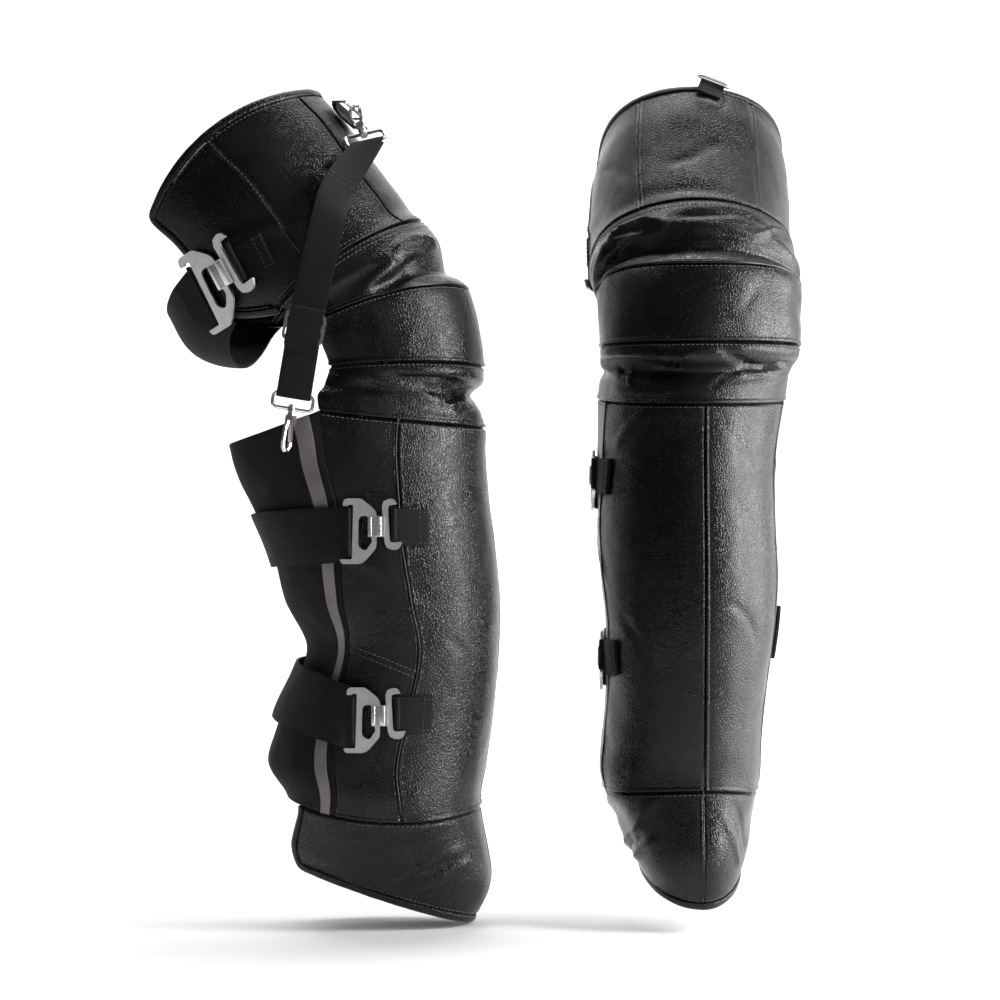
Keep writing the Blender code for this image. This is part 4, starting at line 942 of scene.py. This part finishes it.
def tab(warmer, name, place, scale, looks):
    """Lay a buckle's webbing tab on the leather, from under the anchor's shaft towards the front."""
    matrix, row, angle = place
    along = np.array(matrix.to_3x3() @ Vector((1, 0, 0)))
    up = np.array(matrix.to_3x3() @ Vector((0, 1, 0)))
    steps, across = np.linspace(0, 1, TAB_GRID[0]), np.linspace(-0.5, 0.5, TAB_GRID[1])
    reach = SHAFT_X * scale + TAB_LENGTH * steps - TAB_UNDER_SHAFT
    height = SHAFT_Y * scale + across * TAB_WIDTH
    targets = (np.array(matrix.translation) + along * reach[:, None, None] + up * height[None, :, None])
    rows, angles = nearest_places(targets.reshape(-1, 3), row, angle)
    rows, angles = rows.reshape(TAB_GRID), angles.reshape(TAB_GRID)
    to_shaft = np.clip(2 - steps / 0.1, 0, 1)[:, None]
    lift = TAB_LIFT + TAB_WALL - TAB_END_DROP * np.exp(-((1 - steps[:, None]) / 0.03) ** 2)
    lift = lift + to_shaft * (distance_to_plate(matrix, rows, angles) - CLEAR - lift)
    outer = surface(rows, angles, lift)
    inner = surface(rows, angles, np.full(rows.shape, TAB_LIFT - TAB_SINK))
    warmer.straps.append(warmer.sew(name, "web", outer, inner, looks["webbing"], "webbing"))
    warmer.tab_grids.append((rows, angles))


# The folded clip's parts, in millimetres of the smaller buckle: name, look, from and to in x, from and to
# in y, top, bevel
CLIP_PARTS = (
    ("rear", "clip_bright", (-2.2, 0.6), (-3.6, 12.2), 4.9, 0.5),
    ("middle", "clip_dull", (0.4, 4.6), (-3.4, 12.0), 4.35, 0.25),
    ("front", "clip_bright", (4.4, 8.6), (-3.6, 12.2), 4.8, 0.5),
)
CLIP_FOOT = 3.6 * MM
# The straps' ends turned round a buckle's two bars: part, finish, x and from and to in y in millimetres of
# the smaller buckle, height and radius in millimetres
BAR_ROLLS = (
    ("elastic", "elastic", -18.2, (-19.5, 19.5), 0.9, 2.1),
    ("tab", "webbing", 18.6, (-6.5, 19.0), 1.2, 2.3),
)
BAR_ROLL_POINTS = 24
BAR_ROLL_SIDES = 16


def slab(name, look, matrix, low, high, bevel):
    """A small block with rounded edges, in the frame of a buckle."""
    work = bmesh.new()
    bmesh.ops.create_cube(work, size=1)
    low, high = Vector(low), Vector(high)
    for vert in work.verts:
        vert.co = Vector([(a + b) / 2 + c * (b - a) for a, b, c in zip(low, high, vert.co)])
    bmesh.ops.bevel(work, geom=work.edges[:], offset=bevel, segments=3, affect="EDGES", profile=0.5)
    work.transform(matrix)
    mesh = bpy.data.meshes.new(name)
    work.to_mesh(mesh)
    work.free()
    dress(finish_mesh(name, mesh, 40), look)


def buckle(warmer, strap, place, scale, looks):
    """Dress one fastened buckle: the elastic's turned end, the webbing's loop and the folded clip."""
    whole = warmer.matrix @ place[0]
    s = scale * MM
    taper = 1 - 0.12 * np.abs(np.linspace(-1, 1, BAR_ROLL_POINTS)) ** 6
    outward = [whole.to_3x3() @ Vector((0, 0, 1))] * BAR_ROLL_POINTS
    for part, finish, x, (low, high), height, radius in BAR_ROLLS:
        steps = np.linspace(low * s, high * s, BAR_ROLL_POINTS)
        line = [whole @ Vector((x * s, y, height * MM)) for y in steps]
        made = tube(f"{warmer.tag}_{strap}_{part}_end", line, radius * MM * taper, looks[finish],
                    BAR_ROLL_SIDES, outward)
        warmer.sew_on(f"{strap}_{part}", made)
    for part, look, x, y, top, bevel in CLIP_PARTS:
        slab(f"{warmer.tag}_{strap}_buckle_clip_{part}", looks[look], whole, (x[0] * s, y[0] * s, CLIP_FOOT),
             (x[1] * s, y[1] * s, top * MM), bevel * MM)


def webbing_strip(name, centre, widths, wall, width, look, lines=10):
    """A flat strap along a line of points, each with its own width direction."""
    centre, widths = np.asarray(centre, float), np.asarray(widths, float)
    face = unit(np.cross(widths, unit(np.gradient(centre, axis=0))))
    across = np.linspace(-0.5, 0.5, lines)
    middle = centre[:, None] + widths[:, None] * (across * width)[None, :, None]
    half = face[:, None] * (wall / 2 * (1 - 0.35 * np.abs(2 * across) ** 8))[None, :, None]
    return shell(name, middle - half, middle + half, look), middle - half


def half_turn(degrees=0):
    """Return seven angles that turn half round, in radians."""
    return [math.radians(degrees + 30 * k) for k in range(7)]


def top_loop(warmer, looks):
    """The webbing loop near the top edge; returns the frame of the ring's lower bar."""
    row, angle, tilt = warmer.loop_at
    matrix = plate_matrix(row, angle, LOOP_LIFT, tilt)
    bar = WIRE + CLEAR
    round_bar = bar + LOOP_WALL / 2
    profile = [(share * LOOP_LENGTH, up * MM) for share, up in LOOP_BELOW]
    height = bar + WEBBING_WALL
    profile += [(round_bar * math.cos(turn), height + round_bar * math.sin(turn)) for turn in half_turn(-90)]
    profile += [(share * LOOP_LENGTH, up * MM) for share, up in LOOP_ABOVE]
    line = curve_through([(0, x, z) for x, z in profile], 6)
    place = warmer.matrix @ matrix
    centre = [place @ Vector(point) for point in line]
    widths = [place.to_3x3() @ Vector((1, 0, 0))] * len(centre)
    made, outer = webbing_strip(f"{warmer.tag}_top_loop_web", centre, widths, LOOP_WALL, LOOP_WIDTH,
                                looks["webbing_black"])
    warmer.stands_for("top_loop", made, outer)
    raised = math.radians(RING_RAISED)
    lower_bar = (0, -RING_HEIGHT * math.cos(raised), height + RING_HEIGHT * math.sin(raised))
    return matrix @ Matrix.Translation(lower_bar)


def upper_snap_frame(ring_bar):
    bar, down_leg, outward = ((ring_bar.to_3x3() @ Vector(axis)).normalized()
                              for axis in ((-1, 0, 0), (0, -1, 0), (0, 0, 1)))
    lean = math.radians(UPPER_SNAP_LEAN)
    from_ring = (down_leg * math.cos(lean) - outward * math.sin(lean)).normalized()
    side = bar.cross(from_ring)
    axes = Matrix((side, bar, from_ring)).transposed().to_4x4()
    hold = Matrix.Translation((-RING_IN_HOOK[0], 0, -RING_IN_HOOK[1]))
    return Matrix.Translation(ring_bar.translation) @ axes @ hold


def on_line(items, share):
    place = share * (len(items) - 1)
    base = min(int(place), len(items) - 2)
    return spline((items[min(max(base + k, 0), len(items) - 1)] for k in (-1, 0, 1, 2)), place - base)


def strap_frame(points, widths, share):
    width = on_line(widths, share).normalized()
    along = on_line(points, min(share + 0.01, 1)) - on_line(points, max(share - 0.01, 0))
    face = width.cross(along).normalized()
    return on_line(points, share), face.cross(width), face, width


def beside_strap(points, widths, route):
    """Return a route's points, each a share of the strap with steps off its face and along it, and widths."""
    centre, wide = [], []
    for share, offset, past in route:
        point, along, face, width = strap_frame(points, widths, share)
        centre.append(point + face * offset + along * past)
        wide.append(width)
    return centre, wide


def hanging_strap(warmer, ring_bar, looks):
    """The webbing round the upper eye, down through the slider, round the lower eye and back."""
    snap = upper_snap_frame(ring_bar)
    level = snap.to_3x3().inverted() @ Vector((1, 0, 0))
    eye_turn = math.atan2(level.y, level.x)
    top = snap @ Vector((0, 0, EYE_HEIGHT))
    bar = snap.to_3x3() @ Vector((math.cos(eye_turn), math.sin(eye_turn), 0))
    points = [top] + [Vector(station[:3]) * MM for station in STRAP_LINE]
    widths = [-bar]
    for index, station in enumerate(STRAP_LINE, start=1):
        along = points[min(index + 1, len(points) - 1)] - points[index - 1]
        turn = math.radians(station[3])
        widths.append(along.cross(Vector((math.sin(turn), -math.cos(turn), 0))).normalized())
    route = [(0.16, -LAYER_OFFSET, 0), (0.08, -LAYER_OFFSET, 0), (0.02, -LOOP_OFFSET, 0)]
    route += [(0.0, -LOOP_OFFSET * math.cos(turn), -LOOP_OFFSET * math.sin(turn)) for turn in half_turn()]
    route += [(0.02, LOOP_OFFSET, 0), (0.10, 0.4 * LOOP_OFFSET, 0)]
    route += [(0.16 + 0.06 * k, 0.2 * LOOP_OFFSET, 0) for k in range(13)]
    route += [(0.96, 0.7 * LOOP_OFFSET, 0), (0.985, LOOP_OFFSET, 0)]
    route += [(1.0, LOOP_OFFSET * math.cos(turn), LOOP_OFFSET * math.sin(turn)) for turn in half_turn()]
    route += [(0.985, -LOOP_OFFSET, 0)] + [(share, -LAYER_OFFSET, 0) for share in (0.95, 0.86, 0.78, 0.72)]
    centre, wide = (curve_through(line, 6) for line in beside_strap(points, widths, route))
    made, outer = webbing_strip(f"{warmer.tag}_hanging_strap_web", warmer.world(centre),
                                warmer.spin(unit(wide)), STRAP_WALL, STRAP_WIDTH, looks["webbing"], lines=14)
    warmer.stands_for("hanging_strap", made, outer, "hung")

    # The strap also runs over the slider's front, which leaves only the slider's two sides showing
    route = [(share, offset * MM, past * MM) for share, offset, past in OVER_SLIDER]
    over = curve_through(beside_strap(points, widths, route)[0], 5)
    wide = np.array([strap_frame(points, widths, SLIDER_AT)[3]] * len(over))
    cover, _ = webbing_strip(f"{warmer.tag}_strap_over_slider", warmer.world(over), warmer.spin(wide),
                             OVER_SLIDER_WALL, OVER_SLIDER_WIDTH, looks["webbing"], lines=14)
    warmer.sew_on("hanging_strap", cover)

    # Two lines of stitches cross the strap below the upper eye's fold
    seams = []
    for share in STRAP_STITCHES:
        point, _, face, width = strap_frame(points, widths, share)
        start = point + face * (0.2 * LOOP_OFFSET + STRAP_WALL / 2 + 0.1 * MM)
        line = np.array([start + width * w for w in np.linspace(-0.46, 0.46, 9) * STRAP_WIDTH])
        seams.append((warmer.world(line), warmer.spin(np.array([face] * 9))))
    stitches(f"{warmer.tag}_strap_stitching", seams, looks["thread_dark"], STRAP_STITCH_LENGTH)


def strap_routes(warmer, looks):
    """Lay the three fastened straps of a warmer."""
    calf_row = row_at_height(CALF_BUCKLE_HEIGHT + warmer.rise)
    ankle_row = row_at_height(ANKLE_BUCKLE_HEIGHT + warmer.rise)
    calf = (plate_matrix(calf_row, CALF_BUCKLE_ANGLE, BUCKLE_LIFT, 0), calf_row, CALF_BUCKLE_ANGLE)
    ankle = (plate_matrix(ankle_row, ANKLE_BUCKLE_ANGLE, BUCKLE_LIFT, 0), ankle_row, ANKLE_BUCKLE_ANGLE)
    over = (plate_matrix(THIGH_BUCKLE_ROW, THIGH_BUCKLE_ANGLE, BUCKLE_LIFT, THIGH_BUCKLE_TURN),
            THIGH_BUCKLE_ROW, THIGH_BUCKLE_ANGLE)
    lower_elastic(warmer, "calf_elastic", CALF_ROUTE, CALF_ELASTIC_LIFT, calf[0], looks)
    lower_elastic(warmer, "ankle_elastic", ANKLE_ROUTE, ANKLE_ELASTIC_LIFT, ankle[0], looks)
    thigh_elastic(warmer, over[0], looks)
    fastened = (("calf", calf, 1.0), ("ankle", ankle, 1.0), ("thigh", over, THIGH_BUCKLE_SCALE))
    for name, place, scale in fastened:
        tab(warmer, f"{name}_tab", place, scale, looks)
        buckle(warmer, name, place, scale, looks)
        keep_node(f"{warmer.tag}_{name}_buckle", looks["aluminium"])


# Piping and stitching

PIPING_PITCH = 1.8 * MM
PIPING_RADIUS = 1.15 * MM
KNEE_PIPING_RADIUS = 1.4 * MM
CALF_SEAM_RADIUS = 0.8 * MM
PIPING_LIFT = -0.1 * MM
CALF_SEAM_LIFT = -0.25 * MM
CALF_SEAM_STITCHES = 2.4 * MM
DART_STITCH_LIFT = 0.2 * MM


def piping(warmer, name, beside_panel, rows, angles, looks, radius=PIPING_RADIUS, lift=PIPING_LIFT):
    """A thin corded strip along a seam, sewn to the panel beside it."""
    points = surface(rows, angles, lift + crease_lift(warmer.creases, base_point(rows, angles)))
    points, normals = even_line(points, PIPING_PITCH, surface_normal(rows, angles))
    made = tube(f"{warmer.tag}_{name}", warmer.world(points), radius, looks["piping"], 8,
                warmer.spin(normals))
    warmer.sew_on(beside_panel, made)


def seam_line(name, end):
    """Return a seam of the table as a line of places, as far round on both sides."""
    angles = np.linspace(-end, end, 240)
    return seam(name)(angles), angles


def upright(angle, low, high):
    """Return a lengthwise line of places, its angle a number or a function of the row."""
    rows = np.linspace(low, high, 200)
    return rows, (angle(rows) if callable(angle) else np.full(len(rows), float(angle)))


def details(warmer, looks):
    """Pipe and stitch the seams."""
    warmer.skins += warmer.straps
    warmer.weld_skins()
    low, high = ROW["foot seam"] - 0.05, ROW["shin seam"] - 0.15
    piping(warmer, "outer_side_piping", "calf_outer", *upright(side_seam_angle, low, high), looks)
    inner_side = upright(lambda row: -side_seam_angle(row), low, high)
    piping(warmer, "inner_side_piping", "calf_inner", *inner_side, looks)
    rear = float(edge_angle(ROW["band seam"] + 0.5)) - 1
    piping(warmer, "knee_piping", "knee_cap", *seam_line("band seam", rear), looks, KNEE_PIPING_RADIUS)

    lines = {f"{group}_stitching": [] for group in ("knee", "thigh", "leg", "foot", "tab")}

    def stitch(group, places, off=0.0, lift=STITCH_LIFT):
        lines[f"{group}_stitching"].append(stitch_line(warmer, *places, off, lift))

    for name, off in (("shin seam", 1), ("cap seam", 1), ("band seam", 1), ("thigh seam", -1)):
        stitch("knee", seam_line(name, float(edge_angle(ROW[name])) - 2), off * STITCH_INSET)
    end = float(edge_angle(ROW["thigh seam"] + 1)) - 6
    for off in (STITCH_INSET, STITCH_INSET + STITCH_ROW_GAP):
        stitch("thigh", seam_line("thigh seam", end), off)
    for angle, off in ((THIGH_SEAM_OUTER, STITCH_INSET), (THIGH_SEAM_INNER, -STITCH_INSET)):
        ends = seam("thigh seam")(angle) + 0.05, seam("top edge")(angle) - BINDING_ROWS - 0.05
        stitch("thigh", upright(angle, *ends), off)
    dart = upright(THIGH_DART, THIGH_DART_FOOT, seam("top edge")(THIGH_DART) - BINDING_ROWS - 0.03)
    stitch("thigh", dart, lift=DART_STITCH_LIFT)
    stitch("foot", seam_line("foot seam", float(edge_angle(ROW["foot seam"] + 1)) - 2), STITCH_INSET)
    for sign in (1, -1):
        across = np.linspace(SIDE_SEAM_LOW + 2, 121, 60)
        rows = CALF_SEAM_ROW + (across - SIDE_SEAM_LOW) * CALF_SEAM_CLIMB
        name = "outer" if sign > 0 else "inner"
        piping(warmer, f"{name}_calf_seam", f"calf_{name}", rows, sign * across, looks, CALF_SEAM_RADIUS,
               CALF_SEAM_LIFT)
        for off in (-CALF_SEAM_STITCHES, CALF_SEAM_STITCHES):
            stitch("leg", (rows, sign * across), off)
    stitch("leg", upright(0.0, low + 0.1, high - 0.1), -STITCH_INSET)
    for name, (rows, angles, outward) in warmer.bindings.items():
        stitch(name.replace("_binding", ""), (rows[4:-4], angles[4:-4]), BINDING_INSET * outward)
    for rows, angles in warmer.tab_grids:
        for j in (-2, -7):
            stitch("tab", (rows[j, 1:-1], angles[j, 1:-1]))
        for i in (1, -2):
            stitch("tab", (rows[-7:-1, i], angles[-7:-1, i]))
    for name, items in lines.items():
        look, slot = ("thread_dark", "webbing") if name == "tab_stitching" else ("thread", "leather")
        stitches(f"{warmer.tag}_{name}", items, looks[look])


# Materials

class Shade:
    """A short way to add nodes to one material."""

    def __init__(self, name, **values):
        self.material = bpy.data.materials.new(name)
        self.material.use_nodes = True
        self.tree = self.material.node_tree
        self.shader = self.tree.nodes["Principled BSDF"]
        self.put(self.shader, values)

    def put(self, node, values):
        for key, value in values.items():
            numbered = key[0] == "i" and key[1:].isdigit()
            socket = node.inputs[int(key[1:]) if numbered else key.replace("_", " ")]
            if isinstance(value, bpy.types.NodeSocket):
                self.tree.links.new(value, socket)
            else:
                socket.default_value = value

    def add(self, kind, settings=None, out=0, **values):
        node = self.tree.nodes.new(f"ShaderNode{kind}")
        for key, value in (settings or {}).items():
            setattr(node, key, value)
        self.put(node, values)
        return node.outputs[out]

    def math(self, operation, *values):
        return self.add("Math", {"operation": operation}, **{f"i{k}": v for k, v in enumerate(values)})

    def place(self):
        return self.add("TexCoord", out="Object")

    def noise(self, scale, detail=3.0, roughness=0.5, stretch=None):
        at = self.place()
        if stretch:
            at = self.add("Mapping", Vector=at, Scale=stretch)
        return self.add("TexNoise", Vector=at, Scale=scale, Detail=detail, Roughness=roughness)

    def cells(self, scale, feature="F1"):
        return self.add("TexVoronoi", {"feature": feature}, out="Distance", Vector=self.place(), Scale=scale)

    def flat(self):
        """Return the two outputs of the flat UVs."""
        parts = self.tree.nodes.new("ShaderNodeSeparateXYZ")
        self.tree.links.new(self.add("UVMap", {"uv_map": "flat"}), parts.inputs[0])
        return parts.outputs[0], parts.outputs[1]

    def ramp(self, value, low, high, to_low=0.0, to_high=1.0):
        return self.add("MapRange", {"interpolation_type": "SMOOTHSTEP"}, Value=value, From_Min=low,
                        From_Max=high, To_Min=to_low, To_Max=to_high)

    def blend(self, share, first, second):
        return self.add("Mix", {"data_type": "RGBA"}, out=2, i0=share, i6=first, i7=second)

    def bump(self, height, distance, strength, normal=None):
        values = {"Height": height, "Distance": distance, "Strength": strength}
        if normal is not None:
            values["Normal"] = normal
        return self.add("Bump", **values)

    def finish(self, **values):
        self.put(self.shader, values)
        return self.material


def grey(value, warm=0.0):
    return (value * (1 + warm), value, value * (1 - warm), 1.0)


def leather_look(name, low, high, roughness, pebble):
    """Grained leather: shallow pebbles about two millimetres across, broken by finer creases, with painted
    shade darkening the grooves between the pebbles.
    """
    look = Shade(name)
    cells = look.cells(430.0, "DISTANCE_TO_EDGE")
    pebbles = look.ramp(cells, 0.0, 0.30)
    fine = look.noise(1900.0, 2.0)
    wide = look.noise(38.0, 4.0, 0.6)
    patches = look.noise(16.0, 2.0)
    grain = look.bump(pebbles, pebble, 0.9)
    grain = look.bump(fine, 0.02 * MM, 0.5, grain)
    grain = look.bump(wide, 1.0 * MM, 0.35, grain)
    colour = look.blend(look.ramp(patches, 0.3, 0.7), grey(low), grey(high, 0.02))
    # Painted shade: the grooves between the pebbles are painted darker.
    colour = look.blend(look.ramp(pebbles, 0.0, 0.5, 0.35, 0.0), colour, grey(low * 0.5))
    gloss = look.math("ADD", look.ramp(patches, 0.3, 0.7, roughness - 0.05, roughness + 0.06),
                      look.math("MULTIPLY", pebbles, -0.06))
    return look.finish(Base_Color=colour, Roughness=gloss, Normal=grain, Specular_IOR_Level=0.28)


def weave_height(look, across, along):
    """Return a plain weave over the flat UVs: threads each way, over and under in turn."""
    u, v = look.flat()
    u, v = look.math("MULTIPLY", u, math.pi / across), look.math("MULTIPLY", v, math.pi / along)
    return look.math("MULTIPLY", look.math("SINE", u), look.math("SINE", v))


def webbing_look(name, low, high, roughness):
    look = Shade(name)
    over = look.ramp(weave_height(look, 0.9 * MM, 1.1 * MM), -0.6, 0.6)
    fuzz = look.noise(900.0, 3.0)
    soil = look.noise(45.0, 3.0)
    height = look.math("ADD", over, look.math("MULTIPLY", fuzz, 0.5))
    # Painted shade: the weave is painted darker where the threads dip under and lighter where they cross
    # over.
    colour = look.blend(over, grey(low, 0.05), grey(high, 0.05))
    colour = look.blend(look.ramp(soil, 0.35, 0.7, 0.0, 0.4), colour, grey(low * 1.3, 0.03))
    gloss = look.ramp(fuzz, 0.2, 0.8, roughness - 0.06, roughness + 0.06)
    return look.finish(Base_Color=colour, Roughness=gloss, Normal=look.bump(height, 0.15 * MM, 0.7),
                       Sheen_Weight=0.04, Sheen_Roughness=0.5, Specular_IOR_Level=0.2)


def elastic_look():
    look = Shade("elastic")
    across, along = look.flat()
    waver = look.math("MULTIPLY", look.noise(60.0, 2.0), 0.9)
    along = look.math("MULTIPLY", along, 2 * math.pi / (1.75 * MM))
    ribs = look.math("SINE", look.math("ADD", along, waver))
    knit = look.math("SINE", look.math("MULTIPLY", across, 2 * math.pi / (1.1 * MM)))
    height = look.math("ADD", look.math("MULTIPLY", ribs, 0.5), look.math("MULTIPLY", knit, 0.14))
    fuzz = look.noise(800.0, 3.0)
    # Painted shade: the rib valleys are painted darker and the rib crests lighter.
    colour = look.blend(look.ramp(ribs, -1.0, 1.0), grey(0.0025), grey(0.009))
    return look.finish(Base_Color=colour, Roughness=look.ramp(fuzz, 0.2, 0.8, 0.62, 0.8),
                       Normal=look.bump(height, 0.35 * MM, 0.8), Sheen_Weight=0.04, Sheen_Roughness=0.5,
                       Specular_IOR_Level=0.2)


def fabric_look():
    look = Shade("wrap_fabric")
    fuzz = look.noise(1300.0, 3.0)
    wide = look.noise(30.0, 3.0)
    weave = weave_height(look, 0.55 * MM, 0.55 * MM)
    colour = look.blend(look.ramp(wide, 0.3, 0.7), (0.0042, 0.0048, 0.0044, 1), (0.0075, 0.0085, 0.0078, 1))
    height = look.math("ADD", look.math("MULTIPLY", weave, 0.5), fuzz)
    bumps = look.bump(wide, 1.2 * MM, 0.5, look.bump(height, 0.12 * MM, 0.7))
    return look.finish(Base_Color=colour, Roughness=look.ramp(fuzz, 0.2, 0.8, 0.8, 0.95), Normal=bumps,
                       Sheen_Weight=0.06, Sheen_Roughness=0.45, Specular_IOR_Level=0.2)


def tape_look():
    look = Shade("reflective_tape")
    grain = look.cells(900.0)
    wide = look.noise(40.0, 3.0)
    colour = look.blend(look.ramp(wide, 0.3, 0.7), (0.145, 0.125, 0.125, 1), (0.20, 0.175, 0.175, 1))
    return look.finish(Base_Color=colour, Roughness=look.ramp(grain, 0.0, 0.8, 0.42, 0.6),
                       Normal=look.bump(grain, 0.05 * MM, 0.6), Metallic=0.15)


def metal_look(name, colour, roughness, brushed, wear):
    look = Shade(name, Metallic=1.0)
    lines = look.noise(700.0, 3.0, 0.6, stretch=brushed)
    patches = look.noise(120.0, 3.0)
    worn = [c * 0.72 for c in colour]
    tint = look.blend(look.ramp(patches, 0.35, 0.7, 0.0, wear), (*colour, 1), (*worn, 1))
    gloss = look.ramp(lines, 0.2, 0.8, roughness - 0.06, roughness + 0.08)
    return look.finish(Base_Color=tint, Roughness=gloss, Normal=look.bump(lines, 0.02 * MM, 0.5))


def thread_look(name, low, high):
    look = Shade(name)
    twist = look.noise(2600.0, 2.0)
    colour = look.blend(look.ramp(twist, 0.3, 0.7), grey(low), grey(high))
    return look.finish(Base_Color=colour, Roughness=look.ramp(twist, 0.2, 0.8, 0.45, 0.65),
                       Normal=look.bump(twist, 0.08 * MM, 0.7))


def make_looks():
    return {
        "leather": leather_look("leather", 0.0026, 0.0046, 0.33, 0.20 * MM),
        # The piping's leather is painted lighter than the panels': a painted highlight along the raised cord.
        "piping": leather_look("piping", 0.004, 0.008, 0.33, 0.05 * MM),
        "wrap_fabric": fabric_look(),
        "elastic": elastic_look(),
        "webbing": webbing_look("webbing", 0.0025, 0.0075, 0.8),
        "webbing_black": webbing_look("webbing_black", 0.0015, 0.005, 0.75),
        "tape": tape_look(),
        "aluminium": metal_look("satin_aluminium", (0.66, 0.66, 0.65), 0.40, (1, 1, 8), 0.35),
        "clip_bright": metal_look("clip_bright", (0.80, 0.79, 0.77), 0.28, (1, 1, 8), 0.2),
        "clip_dull": metal_look("clip_dull", (0.42, 0.38, 0.35), 0.42, (1, 8, 1), 0.4),
        "nickel": metal_look("nickel", (0.74, 0.71, 0.67), 0.22, (4, 4, 1), 0.4),
        # Both threads are painted grey, lighter than the black thread itself: a painted glint that keeps the
        # stitches in view.
        "thread": thread_look("thread", 0.03, 0.09),
        "thread_dark": thread_look("thread_dark", 0.008, 0.025),
    }


SOFT_EDGE = 0.35 * MM


def keep_node(name, look):
    """Give a carried-over solid its finish and soften its edges."""
    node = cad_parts[name]
    node.data.materials.clear()
    node.data.materials.append(look)
    round_over = node.modifiers.new("soft edges", "BEVEL")
    round_over.width = SOFT_EDGE
    round_over.segments = 3
    round_over.limit_method = "ANGLE"
    round_over.angle_limit = math.radians(35)
    round_over.harden_normals = False


# The set

# The lights: name, place, what it points at, size, power in watts
AIM = (0.07, 0.0, -0.12)
LIGHTS = (
    ("key", (1.85, -0.6, 0.3), AIM, (0.45, 1.6), 78),
    ("rim", (1.7, 0.35, -0.05), AIM, (0.7, 1.3), 36),
    ("fill", (0.6, -2.8, 0.6), AIM, (0.9, 0.9), 4.5),
    ("backdrop", (0.1, 0.7, 2.4), (0.1, 2.0, -0.3), (3.0, 0.8), 95),
)
EYE = (0.0765, -2.1, -0.13175)
LENS = 88.94
FLOOR_DROP = 1.5 * MM
FLOOR_BEND = 0.8


def area_light(name, place, aim, size, power):
    light = bpy.data.lights.new(name, "AREA")
    light.shape = "RECTANGLE"
    light.size, light.size_y = size
    light.energy = power
    lamp = add_object(name, light)
    lamp.location = place
    lamp.rotation_euler = (Vector(aim) - Vector(place)).to_track_quat("-Z", "Y").to_euler()


def set_scene():
    scene = bpy.context.scene
    world = bpy.data.worlds.new("studio")
    world.use_nodes = True
    sky = world.node_tree.nodes["Background"].inputs
    sky["Color"].default_value = (0.95, 0.96, 1.0, 1)
    sky["Strength"].default_value = 0.10
    scene.world = world
    scene.view_settings.view_transform = "Standard"

    # A pale floor that curves up into a backdrop
    low = cad_box[0][2] - FLOOR_DROP
    profile = [(-0.9, low), (1.2, low)]
    profile += [(1.2 + FLOOR_BEND * math.sin(turn), low + FLOOR_BEND * (1 - math.cos(turn)))
                for turn in np.linspace(0.1, math.pi / 2, 14)]
    profile += [(1.2 + FLOOR_BEND, low + 5.0)]
    points = [(x, y, z) for y, z in profile for x in (-5.0, 5.0)]
    faces = [(2 * k, 2 * k + 1, 2 * k + 3, 2 * k + 2) for k in range(len(profile) - 1)]
    floor = make_mesh("floor", points, faces, sharp=80)
    paper = Shade("paper")
    speck = paper.noise(40.0, 2.0)
    colour = paper.blend(speck, grey(0.83), grey(0.86))
    floor.data.materials.append(paper.finish(Base_Color=colour, Roughness=0.9))

    for values in LIGHTS:
        area_light(*values)

    camera = bpy.data.cameras.new("camera")
    camera.sensor_width = 36
    camera.lens = LENS
    camera.clip_start = 0.05
    eye = add_object("camera", camera)
    eye.location = EYE
    eye.rotation_euler = (math.radians(90), 0, 0)
    scene.camera = eye


looks = make_looks()
for values in WARMERS:
    warmer = Warmer(*values)
    thigh(warmer, looks)
    knee(warmer, looks)
    lower_leg(warmer, looks)
    foot(warmer, looks)
    strap_routes(warmer, looks)
    ring_bar = top_loop(warmer, looks)
    keep_node(f"{warmer.tag}_top_ring", looks["nickel"])
    if warmer.strapped:
        hanging_strap(warmer, ring_bar, looks)
        for part in ("slider", "upper_snap", "snap_eye", "snap_hook", "snap_gate"):
            keep_node(f"{warmer.tag}_{part}", looks["nickel"])
    details(warmer, looks)
set_scene()
